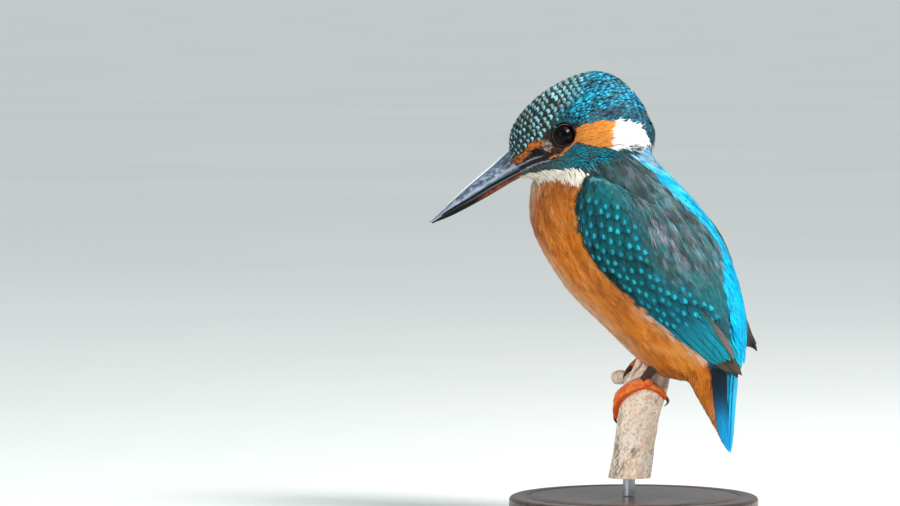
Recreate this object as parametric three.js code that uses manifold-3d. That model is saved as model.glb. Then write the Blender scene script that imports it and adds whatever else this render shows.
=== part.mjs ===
// A life-size museum model of a common kingfisher, a young female, perched on a cut length of
// branch that a plain display stand holds up. Millimetres, +Z up. The bird faces -Y, its left side
// is +X, and the origin is the centre of the stand's underside.
//
// The bird is lofted from named profiles. The trunk's profiles run down its own leaning spine, the
// head's run back from the bill in the head's own turned frame, and the wings are thick shells laid
// on the trunk's flanks. Where forms meet they are cut from each other with a thin seam between.

import * as THREE from "three";
import { mergeVertices } from "three/addons/utils/BufferGeometryUtils.js";
import Module from "manifold-3d";

const wasm = await Module();
wasm.setup();

// ---------------------------------------------------------------- driving dimensions

const SEAM = 0.3; // clear gap left wherever two pieces meet
const WELD = 1e-4; // points closer than this are one point
const FLATNESS = 0.05; // how far a cut piece's faces may be merged from its true shape
const FAR = 240; // wider than the whole model

const STAND = { radius: 40, thickness: 8, edge: 1.2, rodRadius: 2, rodDepth: 9 };

const PERCH = {
  foot: 14, // height of the branch's cut lower end
  head: 56, // height that its broken upper end would reach inside the belly
  radius: 6.8,
  heading: 63, // the way it leans, in degrees round from -X towards +Y
  broken: { from: 41, narrowing: 0.25, back: 1 }, // where its top starts to narrow, and by how much
  twigHeight: 45.8,
  twigRadius: 1.9,
  twigReach: 14.4,
};

// The trunk's spine starts at the shoulders and runs down and back to the root of the tail.
const SPINE = { y: -11.2, z: 108.5, lean: 34.6 };
const TRUNK_SPAN = [-17, 77]; // along the spine

// Head: the centre of the skull, how far it is turned to the bird's left, and how far the bill dips.
const HEAD = { x: 4, y: -17, z: 126, turn: 24, dip: 23 };
const HEAD_SPAN = [-25.5, 20.9]; // back from the face to the nape

const EYE = { side: 10.5, back: -5.5, up: 0.1, radius: 3.5 };

const BILL = { upperTip: -56.6, lowerTip: -56, root: -15, slit: 0.15 }; // slit: half the closed gap

const TAIL = { rootY: 35.6, rootZ: 52, root: -6, length: 28.8, tuck: 3.8 };
const VENT_SPAN = [-4, 26]; // the under-tail coverts, down the tail

// The right wing is folded a little tighter: its tip is drawn up and rides higher on the back.
const WINGS = {
  left: { side: 1, lift: 0, drawn: 0 },
  right: { side: -1, lift: 4.4, drawn: 6.6 },
};
const WING_SPAN = [-1, 80]; // down the spine from the shoulder to the tip
const WING_SINK = 0.6; // how far a wing's inner face lies under the trunk's, before it is cut
const FEATHER_TIPS = { down: 67, out: 8, tilt: 0.35 }; // where the flight feathers leave the coverts

// The two thin cuts that part head, neck and trunk: which way each faces, and a point on it.
const UPPER_CUT = { faces: [0.05, -0.28, 1], at: [0, -12.5, 114.6] };
const LOWER_CUT = { faces: [0, -0.1, 1], at: [0, -9, 107.6] };

const LEG = { radius: 1.35, thigh: 0.8, toeRadius: 1.18, clawRadius: 0.62, back: 8.5, rise: 11 };
const HEEL = { rise: 1.6, clear: 0.6, radius: 2.1, ankle: 2.4, ankleClear: 0.8 };
// Where each foot grips the branch: height, and the angle round it from +X towards the front.
const GRIP = {
  left: { height: 43.5, angle: -24, wrap: 1, droop: 1 },
  right: { height: 51.8, angle: 192, wrap: 0.98, droop: 0.35 },
};
// Each toe is a run round the branch, in degrees from the heel, and how far it drops.
const TOES = [
  { name: "outer", sweep: 108, drop: 11, start: 0.9 },
  { name: "middle", sweep: 113, drop: 9.8, start: 2 },
  { name: "inner", sweep: 100, drop: 7.6, start: 3 },
  { name: "hind", sweep: -56, drop: 3.8, start: 0.6 },
];
const CLAW = { from: 0.97, run: 0.05, down: 3, further: 24, bow: 0.7, sink: 0.5 };

// ---------------------------------------------------------------- colours

const paint = (color, roughness = 0.8, metalness = 0) =>
  new THREE.MeshStandardMaterial({ color, roughness, metalness });

const COLOURS = {
  crown: paint(0x1f7f94),
  nape: paint(0x2c5f6b),
  breast: paint(0xc9762b),
  wing: paint(0x12707c),
  flight: paint(0x2b3f45),
  tail: paint(0x0b86c4),
  underTail: paint(0xb9691f),
  horn: paint(0x3b444d, 0.4),
  hornLower: paint(0x4a2c1e, 0.45),
  eye: paint(0x0c0807, 0.1),
  foot: paint(0xd0561c, 0.55),
  bark: paint(0xd9c3ac, 0.9),
  stand: paint(0x2b2624, 0.45),
  rod: paint(0x9a9da1, 0.3, 1),
};

// ---------------------------------------------------------------- curves and lofts

const radians = THREE.MathUtils.degToRad;

// A smooth function through [place, value] pairs, held flat beyond its ends.
function through(keys) {
  const slope = (i) => {
    const [a, b] = [keys[Math.max(i - 1, 0)], keys[Math.min(i + 1, keys.length - 1)]];
    return (b[1] - a[1]) / (b[0] - a[0]);
  };
  return (place) => {
    const last = keys.length - 1;
    if (place <= keys[0][0]) return keys[0][1];
    if (place >= keys[last][0]) return keys[last][1];
    const i = keys.findIndex((k, n) => n < last && place < keys[n + 1][0]);
    const span = keys[i + 1][0] - keys[i][0];
    const s = (place - keys[i][0]) / span;
    const [s2, s3] = [s * s, s * s * s];
    return (
      (2 * s3 - 3 * s2 + 1) * keys[i][1] +
      (s3 - 2 * s2 + s) * span * slope(i) +
      (3 * s2 - 2 * s3) * keys[i + 1][1] +
      (s3 - s2) * span * slope(i + 1)
    );
  };
}

// Evenly spaced numbers from a to b, both included.
const steps = (a, b, count) =>
  Array.from({ length: count + 1 }, (_, i) => a + ((b - a) * i) / count);

// Numbers from a to b that crowd towards both ends, so that a loft's caps come out round.
const roundedSteps = (a, b, count) =>
  steps(0, Math.PI, count).map((angle) => a + ((b - a) * (1 - Math.cos(angle))) / 2);

// A closed surface through rings of equally many points, with a fan over each end.
function loft(rings) {
  const around = rings[0].length;
  const points = rings.flat();
  const faces = [];
  for (let r = 0; r + 1 < rings.length; r++)
    for (let i = 0; i < around; i++) {
      const j = (i + 1) % around;
      const [a, b, c, d] = [r * around + i, r * around + j, (r + 1) * around + j, (r + 1) * around + i];
      faces.push(a, b, c, a, c, d);
    }
  const cap = (ring, first, flip) => {
    const middle = ring.reduce((sum, p) => sum.add(p), new THREE.Vector3()).divideScalar(around);
    const centre = points.push(middle) - 1;
    for (let i = 0; i < around; i++) {
      const [a, b] = [first + i, first + ((i + 1) % around)];
      faces.push(centre, flip ? b : a, flip ? a : b);
    }
  };
  cap(rings[0], 0, true);
  cap(rings.at(-1), (rings.length - 1) * around, false);
  const made = new THREE.BufferGeometry().setFromPoints(points);
  made.setIndex(faces);
  return facingOut(made);
}

// Turns every face round if the closed surface encloses a negative volume.
function facingOut(geometry) {
  const p = geometry.getAttribute("position");
  const index = geometry.index.array;
  const corner = (i) => new THREE.Vector3().fromBufferAttribute(p, index[i]);
  let volume = 0;
  for (let i = 0; i < index.length; i += 3)
    volume += corner(i).dot(corner(i + 1).cross(corner(i + 2)));
  if (volume < 0)
    for (let i = 0; i < index.length; i += 3)
      [index[i + 1], index[i + 2]] = [index[i + 2], index[i + 1]];
  return geometry;
}

// A tapering tube along a smooth curve through the given points.
function limb(points, radiusAt, sides = 8, lengths = 10) {
  const curve = new THREE.CatmullRomCurve3(points);
  const frames = curve.computeFrenetFrames(lengths, false);
  return loft(
    steps(0, 1, lengths).map((share, n) => {
      const centre = curve.getPointAt(share);
      return steps(0, 2 * Math.PI, sides)
        .slice(1)
        .map((angle) =>
          centre
            .clone()
            .addScaledVector(frames.normals[n], Math.cos(angle) * radiusAt(share))
            .addScaledVector(frames.binormals[n], Math.sin(angle) * radiusAt(share)),
        );
    }),
  );
}

// ---------------------------------------------------------------- solids

function toSolid(geometry) {
  const bare = geometry.clone();
  bare.deleteAttribute("normal");
  bare.deleteAttribute("uv");
  const merged = mergeVertices(bare, WELD);
  return new wasm.Manifold(
    new wasm.Mesh({
      numProp: 3,
      vertProperties: merged.getAttribute("position").array,
      triVerts: new Uint32Array(merged.index.array),
    }),
  );
}

function toGeometry(solid) {
  const mesh = solid.getMesh();
  const made = new THREE.BufferGeometry();
  made.setAttribute("position", new THREE.BufferAttribute(new Float32Array(mesh.vertProperties), 3));
  made.setIndex(new THREE.BufferAttribute(mesh.triVerts, 1));
  made.computeVertexNormals();
  return made;
}

// A frame is a group of the scene; pieces are shaped in it, cut in the world, and put back in it.
function frameAt(name, x, y, z, turn = 0, pitch = 0) {
  const group = new THREE.Group();
  group.name = name;
  group.position.set(x, y, z);
  group.rotation.set(pitch, 0, turn, "ZXY");
  group.updateMatrixWorld(true);
  return group;
}

const inWorld = (geometry, frame) => toSolid(geometry.clone().applyMatrix4(frame.matrixWorld));

function place(name, solid, material, frame) {
  const largest = solid.decompose().reduce((a, b) => (b.volume() > a.volume() ? b : a));
  const local = toGeometry(largest.setTolerance(FLATNESS)).applyMatrix4(frame.matrixWorld.clone().invert());
  const mesh = new THREE.Mesh(local, material);
  mesh.name = name;
  frame.add(mesh);
}

// A slab of the world between two heights measured along a tilted up direction.
function slab(low, high, upDirection, origin) {
  const box = new THREE.BoxGeometry(FAR, FAR, high - low);
  box.translate(0, 0, (low + high) / 2);
  const turn = new THREE.Quaternion().setFromUnitVectors(new THREE.Vector3(0, 0, 1), upDirection);
  box.applyQuaternion(turn);
  box.translate(origin.x, origin.y, origin.z);
  return toSolid(box);
}

// ---------------------------------------------------------------- frames

const bird = new THREE.Group();
const spine = frameAt("spine_frame", 0, SPINE.y, SPINE.z, 0, radians(SPINE.lean));
const skull = frameAt("head_frame", HEAD.x, HEAD.y, HEAD.z, radians(HEAD.turn), radians(HEAD.dip));
const rump = frameAt("tail_frame", 0, TAIL.rootY, TAIL.rootZ, 0, radians(-TAIL.tuck));
const ground = frameAt("stand_frame", 0, 0, 0);
bird.add(spine, skull, rump);

// ---------------------------------------------------------------- trunk

// Down the spine from the shoulders: the back's line, the belly's line and half the breadth.
const back = through([
  [-17, 6], [-12, 11.5], [-6, 15.2], [0, 17.8], [10, 20.5], [20, 22.6], [30, 23.9], [40, 23.6],
  [50, 21.8], [58, 19.2], [65, 16.2], [70, 12.6], [74, 9], [77, 6.4],
]);
const belly = through([
  [-17, -15.4], [-12, -21.8], [-6, -26.5], [0, -28.8], [10, -29.7], [20, -29.4], [30, -27.5],
  [40, -24.6], [50, -22.3], [58, -19.8], [64, -16.8], [69, -10.8], [73, -3.5], [77, 2],
]);
const breadth = through([
  [-17, 6], [-12, 11.4], [-6, 14.8], [0, 17.2], [10, 19], [20, 19.4], [30, 19], [40, 17.8],
  [50, 15.6], [58, 13], [65, 10], [70, 7.8], [74, 5.6], [77, 3.2],
]);

// One point of the trunk's skin, grown outwards: the angle runs from the back's midline, 0, to the
// left flank at a quarter turn and the belly's midline at a half turn.
function onTrunk(down, angle, grow = 0) {
  const middle = (back(down) + belly(down)) / 2;
  const depth = (back(down) - belly(down)) / 2 + grow;
  return new THREE.Vector3(
    Math.sin(angle) * (breadth(down) + grow),
    middle + Math.cos(angle) * depth,
    -down,
  );
}

function trunkForm(grow = 0, around = 28) {
  const rings = roundedSteps(TRUNK_SPAN[0] - grow, TRUNK_SPAN[1] + grow, 20).map((down) =>
    steps(0, 2 * Math.PI, around)
      .slice(1)
      .map((angle) => onTrunk(down, angle, grow)),
  );
  return loft(rings);
}

// ---------------------------------------------------------------- head

// Back from the bill in the head's frame: the crown's line, the throat's line and half the breadth.
const crown = through([
  [-25.5, -1.2], [-24.4, 2], [-23.2, 5], [-21.4, 8], [-17.8, 11], [-11.2, 14.2], [-5.4, 15.8],
  [0, 16.4], [5.2, 16.5], [10, 15.7], [14.3, 13.5], [17.4, 10.2], [19.4, 6], [20.4, 1],
  [20.9, -5],
]);
const throat = through([
  [-25.5, -6.6], [-20.9, -8.8], [-15.6, -11.8], [-9.2, -15.4], [0, -18.5], [8, -19.5], [16, -18],
  [19.6, -14], [20.9, -9],
]);
const cheek = through([
  [-25.5, 2.6], [-24, 4.4], [-22, 6], [-18, 8.1], [-12, 10.4], [-6, 12.2], [0, 13.8], [6, 14.6],
  [12, 14], [16, 11.8], [19.4, 7.4], [20.9, 3],
]);
const CROWN_TAPER = 0.1; // how much narrower the crown is than the cheeks
const HEAD_FULLNESS = 0.86; // under 1 squares the head's section a little

function headForm(grow = 0, around = 26) {
  const rings = roundedSteps(HEAD_SPAN[0] - grow, HEAD_SPAN[1] + grow, 17).map((along) => {
    const middle = (crown(along) + throat(along)) / 2;
    const depth = (crown(along) - throat(along)) / 2 + grow;
    return steps(0, 2 * Math.PI, around)
      .slice(1)
      .map(
        (angle) =>
          new THREE.Vector3(
            Math.sign(Math.sin(angle)) *
              Math.abs(Math.sin(angle)) ** HEAD_FULLNESS *
              (cheek(along) + grow) *
              (1 - CROWN_TAPER * Math.cos(angle)),
            along,
            middle + Math.cos(angle) * depth,
          ),
      );
  });
  return loft(rings);
}

const eyeForm = (side, grow = 0) =>
  new THREE.SphereGeometry(EYE.radius + grow, 14, 9).translate(side * EYE.side, EYE.back, EYE.up);

// ---------------------------------------------------------------- bill

// Distances back from the skull's centre are negative; heights are in the head's frame.
const culmen = through([[-56.6, -9.1], [-48, -5.6], [-39.7, -2.5], [-31.7, 0], [-23.6, 3.2], [-14, 5]]);
const tomium = through([[-56.6, -9.4], [-48.8, -7.8], [-41.5, -7], [-34, -5.7], [-24, -4.7], [-14, -4]]);
const gonys = through([[-56, -9.7], [-49.7, -9.9], [-42.5, -9.4], [-35.3, -8.6], [-27, -7.4], [-14, -6.4]]);
const billBreadth = through([[-56.6, 0.35], [-50, 1.15], [-42, 2.1], [-34, 3], [-26, 4.1], [-14, 5.4]]);
const THINNEST = 0.28; // the least depth of either half, at its tip

// The upper half is a roof with a narrow ridge, the lower half a keel.
function upperBill(along) {
  const [top, low, half] = [culmen(along), tomium(along) + BILL.slit, billBreadth(along)];
  return [
    [0.16, 1], [0.52, 0.72], [0.86, 0.34], [1, 0.04], [0.94, 0], [-0.94, 0], [-1, 0.04],
    [-0.86, 0.34], [-0.52, 0.72], [-0.16, 1],
  ].map(([x, up]) => new THREE.Vector3(x * half, along, low + up * Math.max(top - low, THINNEST)));
}

function lowerBill(along) {
  const [top, low, half] = [tomium(along) - BILL.slit, gonys(along), billBreadth(along) * 0.94];
  return [
    [0.94, 0], [1, 0.08], [0.84, 0.5], [0.42, 0.9], [0, 1], [-0.42, 0.9], [-0.84, 0.5],
    [-1, 0.08], [-0.94, 0],
  ].map(([x, down]) => new THREE.Vector3(x * half, along, top - down * Math.max(top - low, THINNEST)));
}

const billForm = (section, tip) => loft(steps(tip, BILL.root, 14).map(section));

// ---------------------------------------------------------------- wings

// Down the spine: how high on the flank, towards the back, the wing's two edges lie.
const wingTop = through([
  [-1, 3.4], [0.5, 5.4], [3, 7.6], [9.7, 11.4], [16, 14.6], [22, 18], [28, 20.2], [40, 20.8],
  [50, 19], [60, 16.2], [68, 12.6], [75, 9.9], [80, 8.4],
]);
const wingFoot = through([
  [-1, 2.4], [0.5, 1], [3, -1], [8.7, -4.9], [18.4, -8.1], [28.7, -8.7], [41, -6], [51.4, -3.2],
  [62, 0.6], [73, 4], [80, 7.2],
]);
// The folded wings lie on the trunk as far as the rump, then close in behind it on their own line.
const wingCrest = through([
  [-1, 17.6], [10, 20.5], [20, 22.6], [30, 23.9], [40, 23.6], [50, 21.8], [58, 19.6], [66, 17.4],
  [74, 15], [80, 12.6],
]);
const wingKeel = through([
  [-1, -27.4], [10, -29.4], [20, -29.4], [30, -27.6], [40, -24.8], [50, -22], [60, -17], [70, -9],
  [80, -2],
]);
const wingSpread = through([
  [-1, 17], [10, 19], [20, 19.4], [30, 19], [40, 17.8], [50, 15.6], [58, 13.4], [66, 10.8],
  [74, 8], [80, 6],
]);
const wingBulge = through([[-1, 1.2], [4, 2.4], [12, 2.9], [30, 2.4], [50, 1.8], [66, 1.1], [80, 0.5]]);
const WING_EDGE = 0.7; // how thick the shell is at its edges, beyond the seam

// A closed shell: each ring runs up the wing's outer face and back down its inner face.
function wingForm({ side, lift, drawn }, grow = 0) {
  const shares = roundedSteps(0, 1, 7);
  const rings = roundedSteps(WING_SPAN[0] - grow, WING_SPAN[1] + grow, 20).map((down) => {
    const [middle, depth] = [(wingCrest(down) + wingKeel(down)) / 2, (wingCrest(down) - wingKeel(down)) / 2];
    const angleOf = (height) => Math.acos(THREE.MathUtils.clamp((height - middle) / depth, -1, 1));
    const [low, high] = [angleOf(wingFoot(down) - grow), angleOf(wingTop(down) + grow)];
    const raised = lift * THREE.MathUtils.smoothstep(down, 56, WING_SPAN[1]);
    const pulled = down - drawn * THREE.MathUtils.smoothstep(down, 20, WING_SPAN[1]);
    const face = (share, off) => {
      const angle = THREE.MathUtils.lerp(low, high, share);
      return new THREE.Vector3(
        side * Math.sin(angle) * (wingSpread(down) + off),
        middle + Math.cos(angle) * (depth + off) + raised,
        -pulled,
      );
    };
    const thick = (share) => WING_EDGE + wingBulge(down) * Math.sin(Math.PI * share) ** 0.6;
    const outer = shares.map((share) => face(share, SEAM + thick(share) + grow));
    const inner = shares.map((share) => face(1 - share, -WING_SINK - grow));
    return [...outer, ...inner];
  });
  return loft(rings);
}

// ---------------------------------------------------------------- tail

// Down the tail from its root: half its breadth, and how deep its roof-shaped fold is.
const tailBreadth = through([[-6, 4.5], [0, 6.4], [10, 6], [18, 5.5], [24, 4.8], [27, 3.6], [28.8, 1.4]]);
const tailFold = through([[-6, 5], [0, 7.2], [6, 6.6], [13, 4.8], [20, 2.8], [26, 1.2], [28.8, 0.7]]);

function tailForm(grow = 0) {
  const rings = roundedSteps(TAIL.root - grow, TAIL.length + grow, 14).map((down) => {
    const [half, fold] = [tailBreadth(down) + grow, tailFold(down) + grow];
    const roof = steps(-90, 90, 12).map((degrees) => {
      const angle = radians(degrees);
      return new THREE.Vector3(half * Math.sin(angle), grow - fold * (1 - Math.cos(angle)), -down);
    });
    const under = [0.66, 0.33, -0.33, -0.66].map(
      (share) => new THREE.Vector3(half * share, -fold - 0.5 * (1 - share * share) - grow, -down),
    );
    return [...roof, ...under];
  });
  return loft(rings);
}

// The under-tail coverts fill the wedge between the vent and the tail.
const ventFront = through([[-4, -17], [4, -17.5], [10, -13.8], [16, -9.4], [22, -5], [26, -2.4]]);
const ventBreadth = through([[-4, 7], [4, 6.2], [12, 4.9], [20, 3.4], [26, 1.4]]);

function underTailForm() {
  return loft(
    roundedSteps(...VENT_SPAN, 10).map((down) => {
      const [front, rear, half] = [ventFront(down), -tailFold(down) * 0.5, ventBreadth(down)];
      return steps(0, 2 * Math.PI, 14)
        .slice(1)
        .map(
          (angle) =>
            new THREE.Vector3(
              half * Math.sin(angle),
              (front + rear) / 2 + (Math.cos(angle) * Math.max(rear - front, 1)) / 2,
              -down,
            ),
        );
    }),
  );
}

// ---------------------------------------------------------------- branch

// How far the branch has leaned by each height, curving over more towards the top.
const perchLean = through([[14, -1.5], [31, 1], [39, 2.9], [48, 5.2], [58, 7.4]]);
const broken = (height) => THREE.MathUtils.smoothstep(height, PERCH.broken.from, PERCH.head);
const perchAxis = (height) =>
  new THREE.Vector3(
    -Math.cos(radians(PERCH.heading)) * perchLean(height),
    Math.sin(radians(PERCH.heading)) * perchLean(height) + PERCH.broken.back * broken(height),
    height,
  );

// Slow swellings and shallow ridges; the top narrows to its broken end inside the belly feathers.
function perchRadius(height, angle) {
  const ridges = 0.22 * Math.sin(3 * angle + height * 0.11) + 0.14 * Math.sin(7 * angle - height * 0.23);
  const swelling = 0.25 * Math.sin(height * 0.19) + 0.5 * THREE.MathUtils.smoothstep(height, 34, 44);
  return (PERCH.radius + ridges + swelling) * (1 - PERCH.broken.narrowing * broken(height));
}

function perchForm(grow = 0) {
  return loft(
    steps(PERCH.foot - grow, PERCH.head + grow, 13).map((height) => {
      const centre = perchAxis(height);
      return steps(0, 2 * Math.PI, 18)
        .slice(1)
        .map((angle) => {
          const radius = perchRadius(height, angle) + grow;
          return new THREE.Vector3(
            centre.x + Math.cos(angle) * radius,
            centre.y + Math.sin(angle) * radius,
            height,
          );
        });
    }),
  );
}

// A snapped side twig on the far front of the branch, with a knobbed end.
function twigForm(grow = 0) {
  const root = perchAxis(PERCH.twigHeight);
  const towards = new THREE.Vector3(-0.42, -0.9, -0.05).normalize();
  const at = (share) => root.clone().addScaledVector(towards, PERCH.radius * 0.4 + share * PERCH.twigReach);
  const middle = at(0.6).add(new THREE.Vector3(0, 0, 0.5));
  const radius = through([[0, 1.7], [0.55, 1.6], [0.8, 2.4], [0.95, 2.1], [1, 1]]);
  return limb([at(0), middle, at(1)], (share) => radius(share) * (PERCH.twigRadius / 1.9) + grow, 10, 10);
}

// ---------------------------------------------------------------- legs and feet

// A point on the branch's bark, lifted clear of it, at an angle from +X towards the front.
function onBark(height, degrees, lift) {
  const angle = -radians(degrees);
  const radius = perchRadius(height, angle) + lift;
  return perchAxis(height).add(new THREE.Vector3(Math.cos(angle) * radius, Math.sin(angle) * radius, 0));
}

// A point along a toe, from the heel at 0 to the root of the claw at 1.
function alongToe(grip, direction, toe, share, lift, lower = 0, further = 0) {
  return onBark(
    grip.height + toe.start * (1 - share * 0.4) - toe.drop * grip.droop * share ** 1.6 - lower,
    grip.angle + (toe.sweep * share + Math.sign(toe.sweep) * further) * grip.wrap * direction,
    lift,
  );
}

function toeForm(grip, direction, toe, grow = 0) {
  const lift = LEG.toeRadius;
  const points = steps(0, 1, 5).map((share) =>
    alongToe(grip, direction, toe, share, lift * (1 - 0.3 * share)),
  );
  const thickness = through([[0, 1.15], [0.3, 1], [0.85, 0.86], [1, 0.6]]);
  return limb(points, (share) => LEG.toeRadius * thickness(share) * 0.92 + grow, 6, 6);
}

// A claw bows out from the toe's end and curves back down to the bark.
function clawForm(grip, direction, toe) {
  const points = steps(0, 1, 4).map((share) =>
    alongToe(
      grip, direction, toe, CLAW.from + CLAW.run * share,
      LEG.toeRadius + CLAW.bow * Math.sin(Math.PI * share) - CLAW.sink * share,
      CLAW.down * share, CLAW.further * share,
    ),
  );
  return limb(points, (share) => LEG.clawRadius * (1.1 - 0.75 * share), 5, 4);
}

// The foot is its sole and toes in one piece; the claws are part of it.
function footSolid(grip, direction, grow = 0) {
  const heel = onBark(grip.height + HEEL.rise, grip.angle, LEG.toeRadius + HEEL.clear);
  const ball = new THREE.SphereGeometry(HEEL.radius + grow, 9, 6).translate(heel.x, heel.y, heel.z);
  return TOES.reduce(
    (foot, toe) =>
      foot
        .add(toSolid(toeForm(grip, direction, toe, grow)))
        .add(toSolid(clawForm(grip, direction, toe))),
    toSolid(ball),
  );
}

function legForm(grip) {
  const ankle = onBark(grip.height + HEEL.ankle, grip.angle, LEG.toeRadius + HEEL.ankleClear);
  const knee = new THREE.Vector3(ankle.x * 0.86, ankle.y + LEG.back, ankle.z + LEG.rise);
  const middle = ankle.clone().lerp(knee, 0.5).add(new THREE.Vector3(0, -0.6, 0));
  return limb([ankle, middle, knee], (share) => LEG.radius * (1 + LEG.thigh * share), 10, 8);
}

// ---------------------------------------------------------------- stand

function standBaseForm() {
  const { radius, thickness, edge } = STAND;
  const profile = [
    [0, 0], [radius - edge, 0], [radius, edge], [radius, thickness - edge],
    [radius - edge, thickness], [0, thickness],
  ].map(([r, z]) => new THREE.Vector2(r, z));
  return new THREE.LatheGeometry(profile, 40).rotateX(Math.PI / 2);
}

function rodForm(grow = 0) {
  const [low, high] = [STAND.thickness + SEAM - grow, PERCH.foot + STAND.rodDepth + grow];
  return new THREE.CylinderGeometry(STAND.rodRadius + grow, STAND.rodRadius + grow, high - low, 20)
    .rotateX(Math.PI / 2)
    .translate(perchAxis(low).x, perchAxis(low).y, (low + high) / 2);
}

// ---------------------------------------------------------------- assembly

const trunkSolid = inWorld(trunkForm(), spine);
const trunkRoom = inWorld(trunkForm(SEAM), spine);
const headSolid = inWorld(headForm(), skull);
const headRoom = inWorld(headForm(SEAM), skull);
const perchSolid = toSolid(perchForm()).subtract(trunkRoom).subtract(toSolid(rodForm(SEAM)));
const perchRoom = toSolid(perchForm(SEAM));
const twigRoom = toSolid(twigForm(SEAM));

// The head and trunk are one form, parted into head, neck and trunk by two thin tilted cuts.
const bodySolid = headSolid.add(trunkSolid);
const sides = ({ faces, at }) => {
  const [tilt, origin] = [new THREE.Vector3(...faces).normalize(), new THREE.Vector3(...at)];
  return [slab(SEAM / 2, FAR, tilt, origin), slab(-FAR, -SEAM / 2, tilt, origin)];
};
const [aboveUpper, belowUpper] = sides(UPPER_CUT);
const [aboveLower, belowLower] = sides(LOWER_CUT);

const wings = Object.entries(WINGS).map(([name, wing]) => ({
  name,
  drawn: wing.drawn,
  solid: inWorld(wingForm(wing), spine).subtract(trunkRoom).subtract(headRoom),
  room: inWorld(wingForm(wing, SEAM), spine),
}));
const eyeRoom = (side) => inWorld(eyeForm(side, SEAM), skull);

const headPiece = bodySolid.intersect(aboveUpper).subtract(eyeRoom(1)).subtract(eyeRoom(-1));
const neckPiece = bodySolid.intersect(belowUpper).intersect(aboveLower);
const trunkPiece = bodySolid.intersect(belowLower).intersect(belowUpper);

place("head", headPiece, COLOURS.crown, skull);
place("neck", neckPiece, COLOURS.nape, skull);
place("trunk", trunkPiece, COLOURS.breast, spine);
place("eye_left", inWorld(eyeForm(1), skull), COLOURS.eye, skull);
place("eye_right", inWorld(eyeForm(-1), skull), COLOURS.eye, skull);

const upperHalf = inWorld(billForm(upperBill, BILL.upperTip), skull).subtract(headRoom);
const lowerHalf = inWorld(billForm(lowerBill, BILL.lowerTip), skull).subtract(headRoom);
place("bill_upper", upperHalf, COLOURS.horn, skull);
place("bill_lower", lowerHalf, COLOURS.hornLower, skull);

// The tips of the folded flight feathers are parted from the coverts where they leave the rump.
const tipTilt = new THREE.Vector3(0, FEATHER_TIPS.tilt, 1).normalize().applyQuaternion(spine.quaternion);
for (const { name, solid, drawn } of wings) {
  const at = spine.localToWorld(new THREE.Vector3(0, FEATHER_TIPS.out, drawn - FEATHER_TIPS.down));
  const tips = solid.intersect(slab(-FAR, -SEAM / 2, tipTilt, at));
  place("wing_" + name, solid.intersect(slab(SEAM / 2, FAR, tipTilt, at)), COLOURS.wing, spine);
  place("primaries_" + name, tips, COLOURS.flight, spine);
}

const wingRooms = wings[0].room.add(wings[1].room);
const tailSolid = inWorld(tailForm(), rump).subtract(trunkRoom).subtract(wingRooms);
place("tail", tailSolid, COLOURS.tail, rump);
const underTail = inWorld(underTailForm(), rump)
  .subtract(inWorld(tailForm(SEAM), rump))
  .subtract(trunkRoom)
  .subtract(wingRooms);
place("undertail_coverts", underTail, COLOURS.underTail, rump);

for (const [name, direction] of [["left", 1], ["right", -1]]) {
  const foot = footSolid(GRIP[name], direction)
    .subtract(perchRoom)
    .subtract(trunkRoom)
    .subtract(twigRoom);
  place("foot_" + name, foot, COLOURS.foot, ground);
  const leg = toSolid(legForm(GRIP[name]))
    .subtract(footSolid(GRIP[name], direction, SEAM))
    .subtract(perchRoom)
    .subtract(trunkRoom);
  place("leg_" + name, leg, COLOURS.foot, ground);
}

place("perch_branch", perchSolid, COLOURS.bark, ground);
place("perch_twig", toSolid(twigForm()).subtract(perchRoom), COLOURS.bark, ground);
place("stand_base", toSolid(standBaseForm()), COLOURS.stand, ground);
place("stand_rod", toSolid(rodForm()), COLOURS.rod, ground);

const model = new THREE.Group();
model.add(bird, ground);
export default model;
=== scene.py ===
"""A life-size common kingfisher, a young female, gripping a cut length of branch on a display stand.

The bird is one skin under a coat of separate feathers. The skin is grown from the frame's flesh
nodes, and every feather is a small vane or tuft rooted on it, laid along the lie of the plumage.
One plumage class holds the markings, so skin and feathers take their colours from the same place.
Sizes are millimetres until a mesh is made, and the bird's two sets of axes are the head's and the
spine's, as in the frame.
"""

import logging  # noqa: E402
import math  # noqa: E402
from collections.abc import Callable, Sequence  # noqa: E402
from dataclasses import dataclass, field, fields  # noqa: E402
from enum import IntEnum  # noqa: E402
from itertools import product  # noqa: E402

import bmesh  # noqa: E402
import bpy  # noqa: E402
import numpy as np  # noqa: E402
from mathutils import Matrix, Vector  # noqa: E402
from mathutils.bvhtree import BVHTree  # noqa: E402


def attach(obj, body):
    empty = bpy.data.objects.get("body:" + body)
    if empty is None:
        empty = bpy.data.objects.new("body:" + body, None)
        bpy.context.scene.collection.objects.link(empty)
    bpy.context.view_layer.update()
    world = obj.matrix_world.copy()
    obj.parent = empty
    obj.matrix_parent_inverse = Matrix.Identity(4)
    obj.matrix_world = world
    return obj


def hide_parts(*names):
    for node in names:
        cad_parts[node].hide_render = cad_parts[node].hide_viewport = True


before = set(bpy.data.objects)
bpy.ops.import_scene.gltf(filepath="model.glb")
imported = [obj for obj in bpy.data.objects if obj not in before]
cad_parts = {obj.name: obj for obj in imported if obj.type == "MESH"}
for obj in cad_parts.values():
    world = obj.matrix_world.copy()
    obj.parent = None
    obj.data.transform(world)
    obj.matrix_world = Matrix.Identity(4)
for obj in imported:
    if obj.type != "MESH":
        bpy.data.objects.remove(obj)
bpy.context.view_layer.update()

log = logging.getLogger("kingfisher")

MM = 0.001
ROOT = "root"
SCATTER = np.array([12.9898, 78.233, 37.719])
SCATTER_SCALE = 43758.5453
Array = np.ndarray
Colour = tuple[float, float, float]


# ---------------------------------------------------------------- small mathematics


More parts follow.
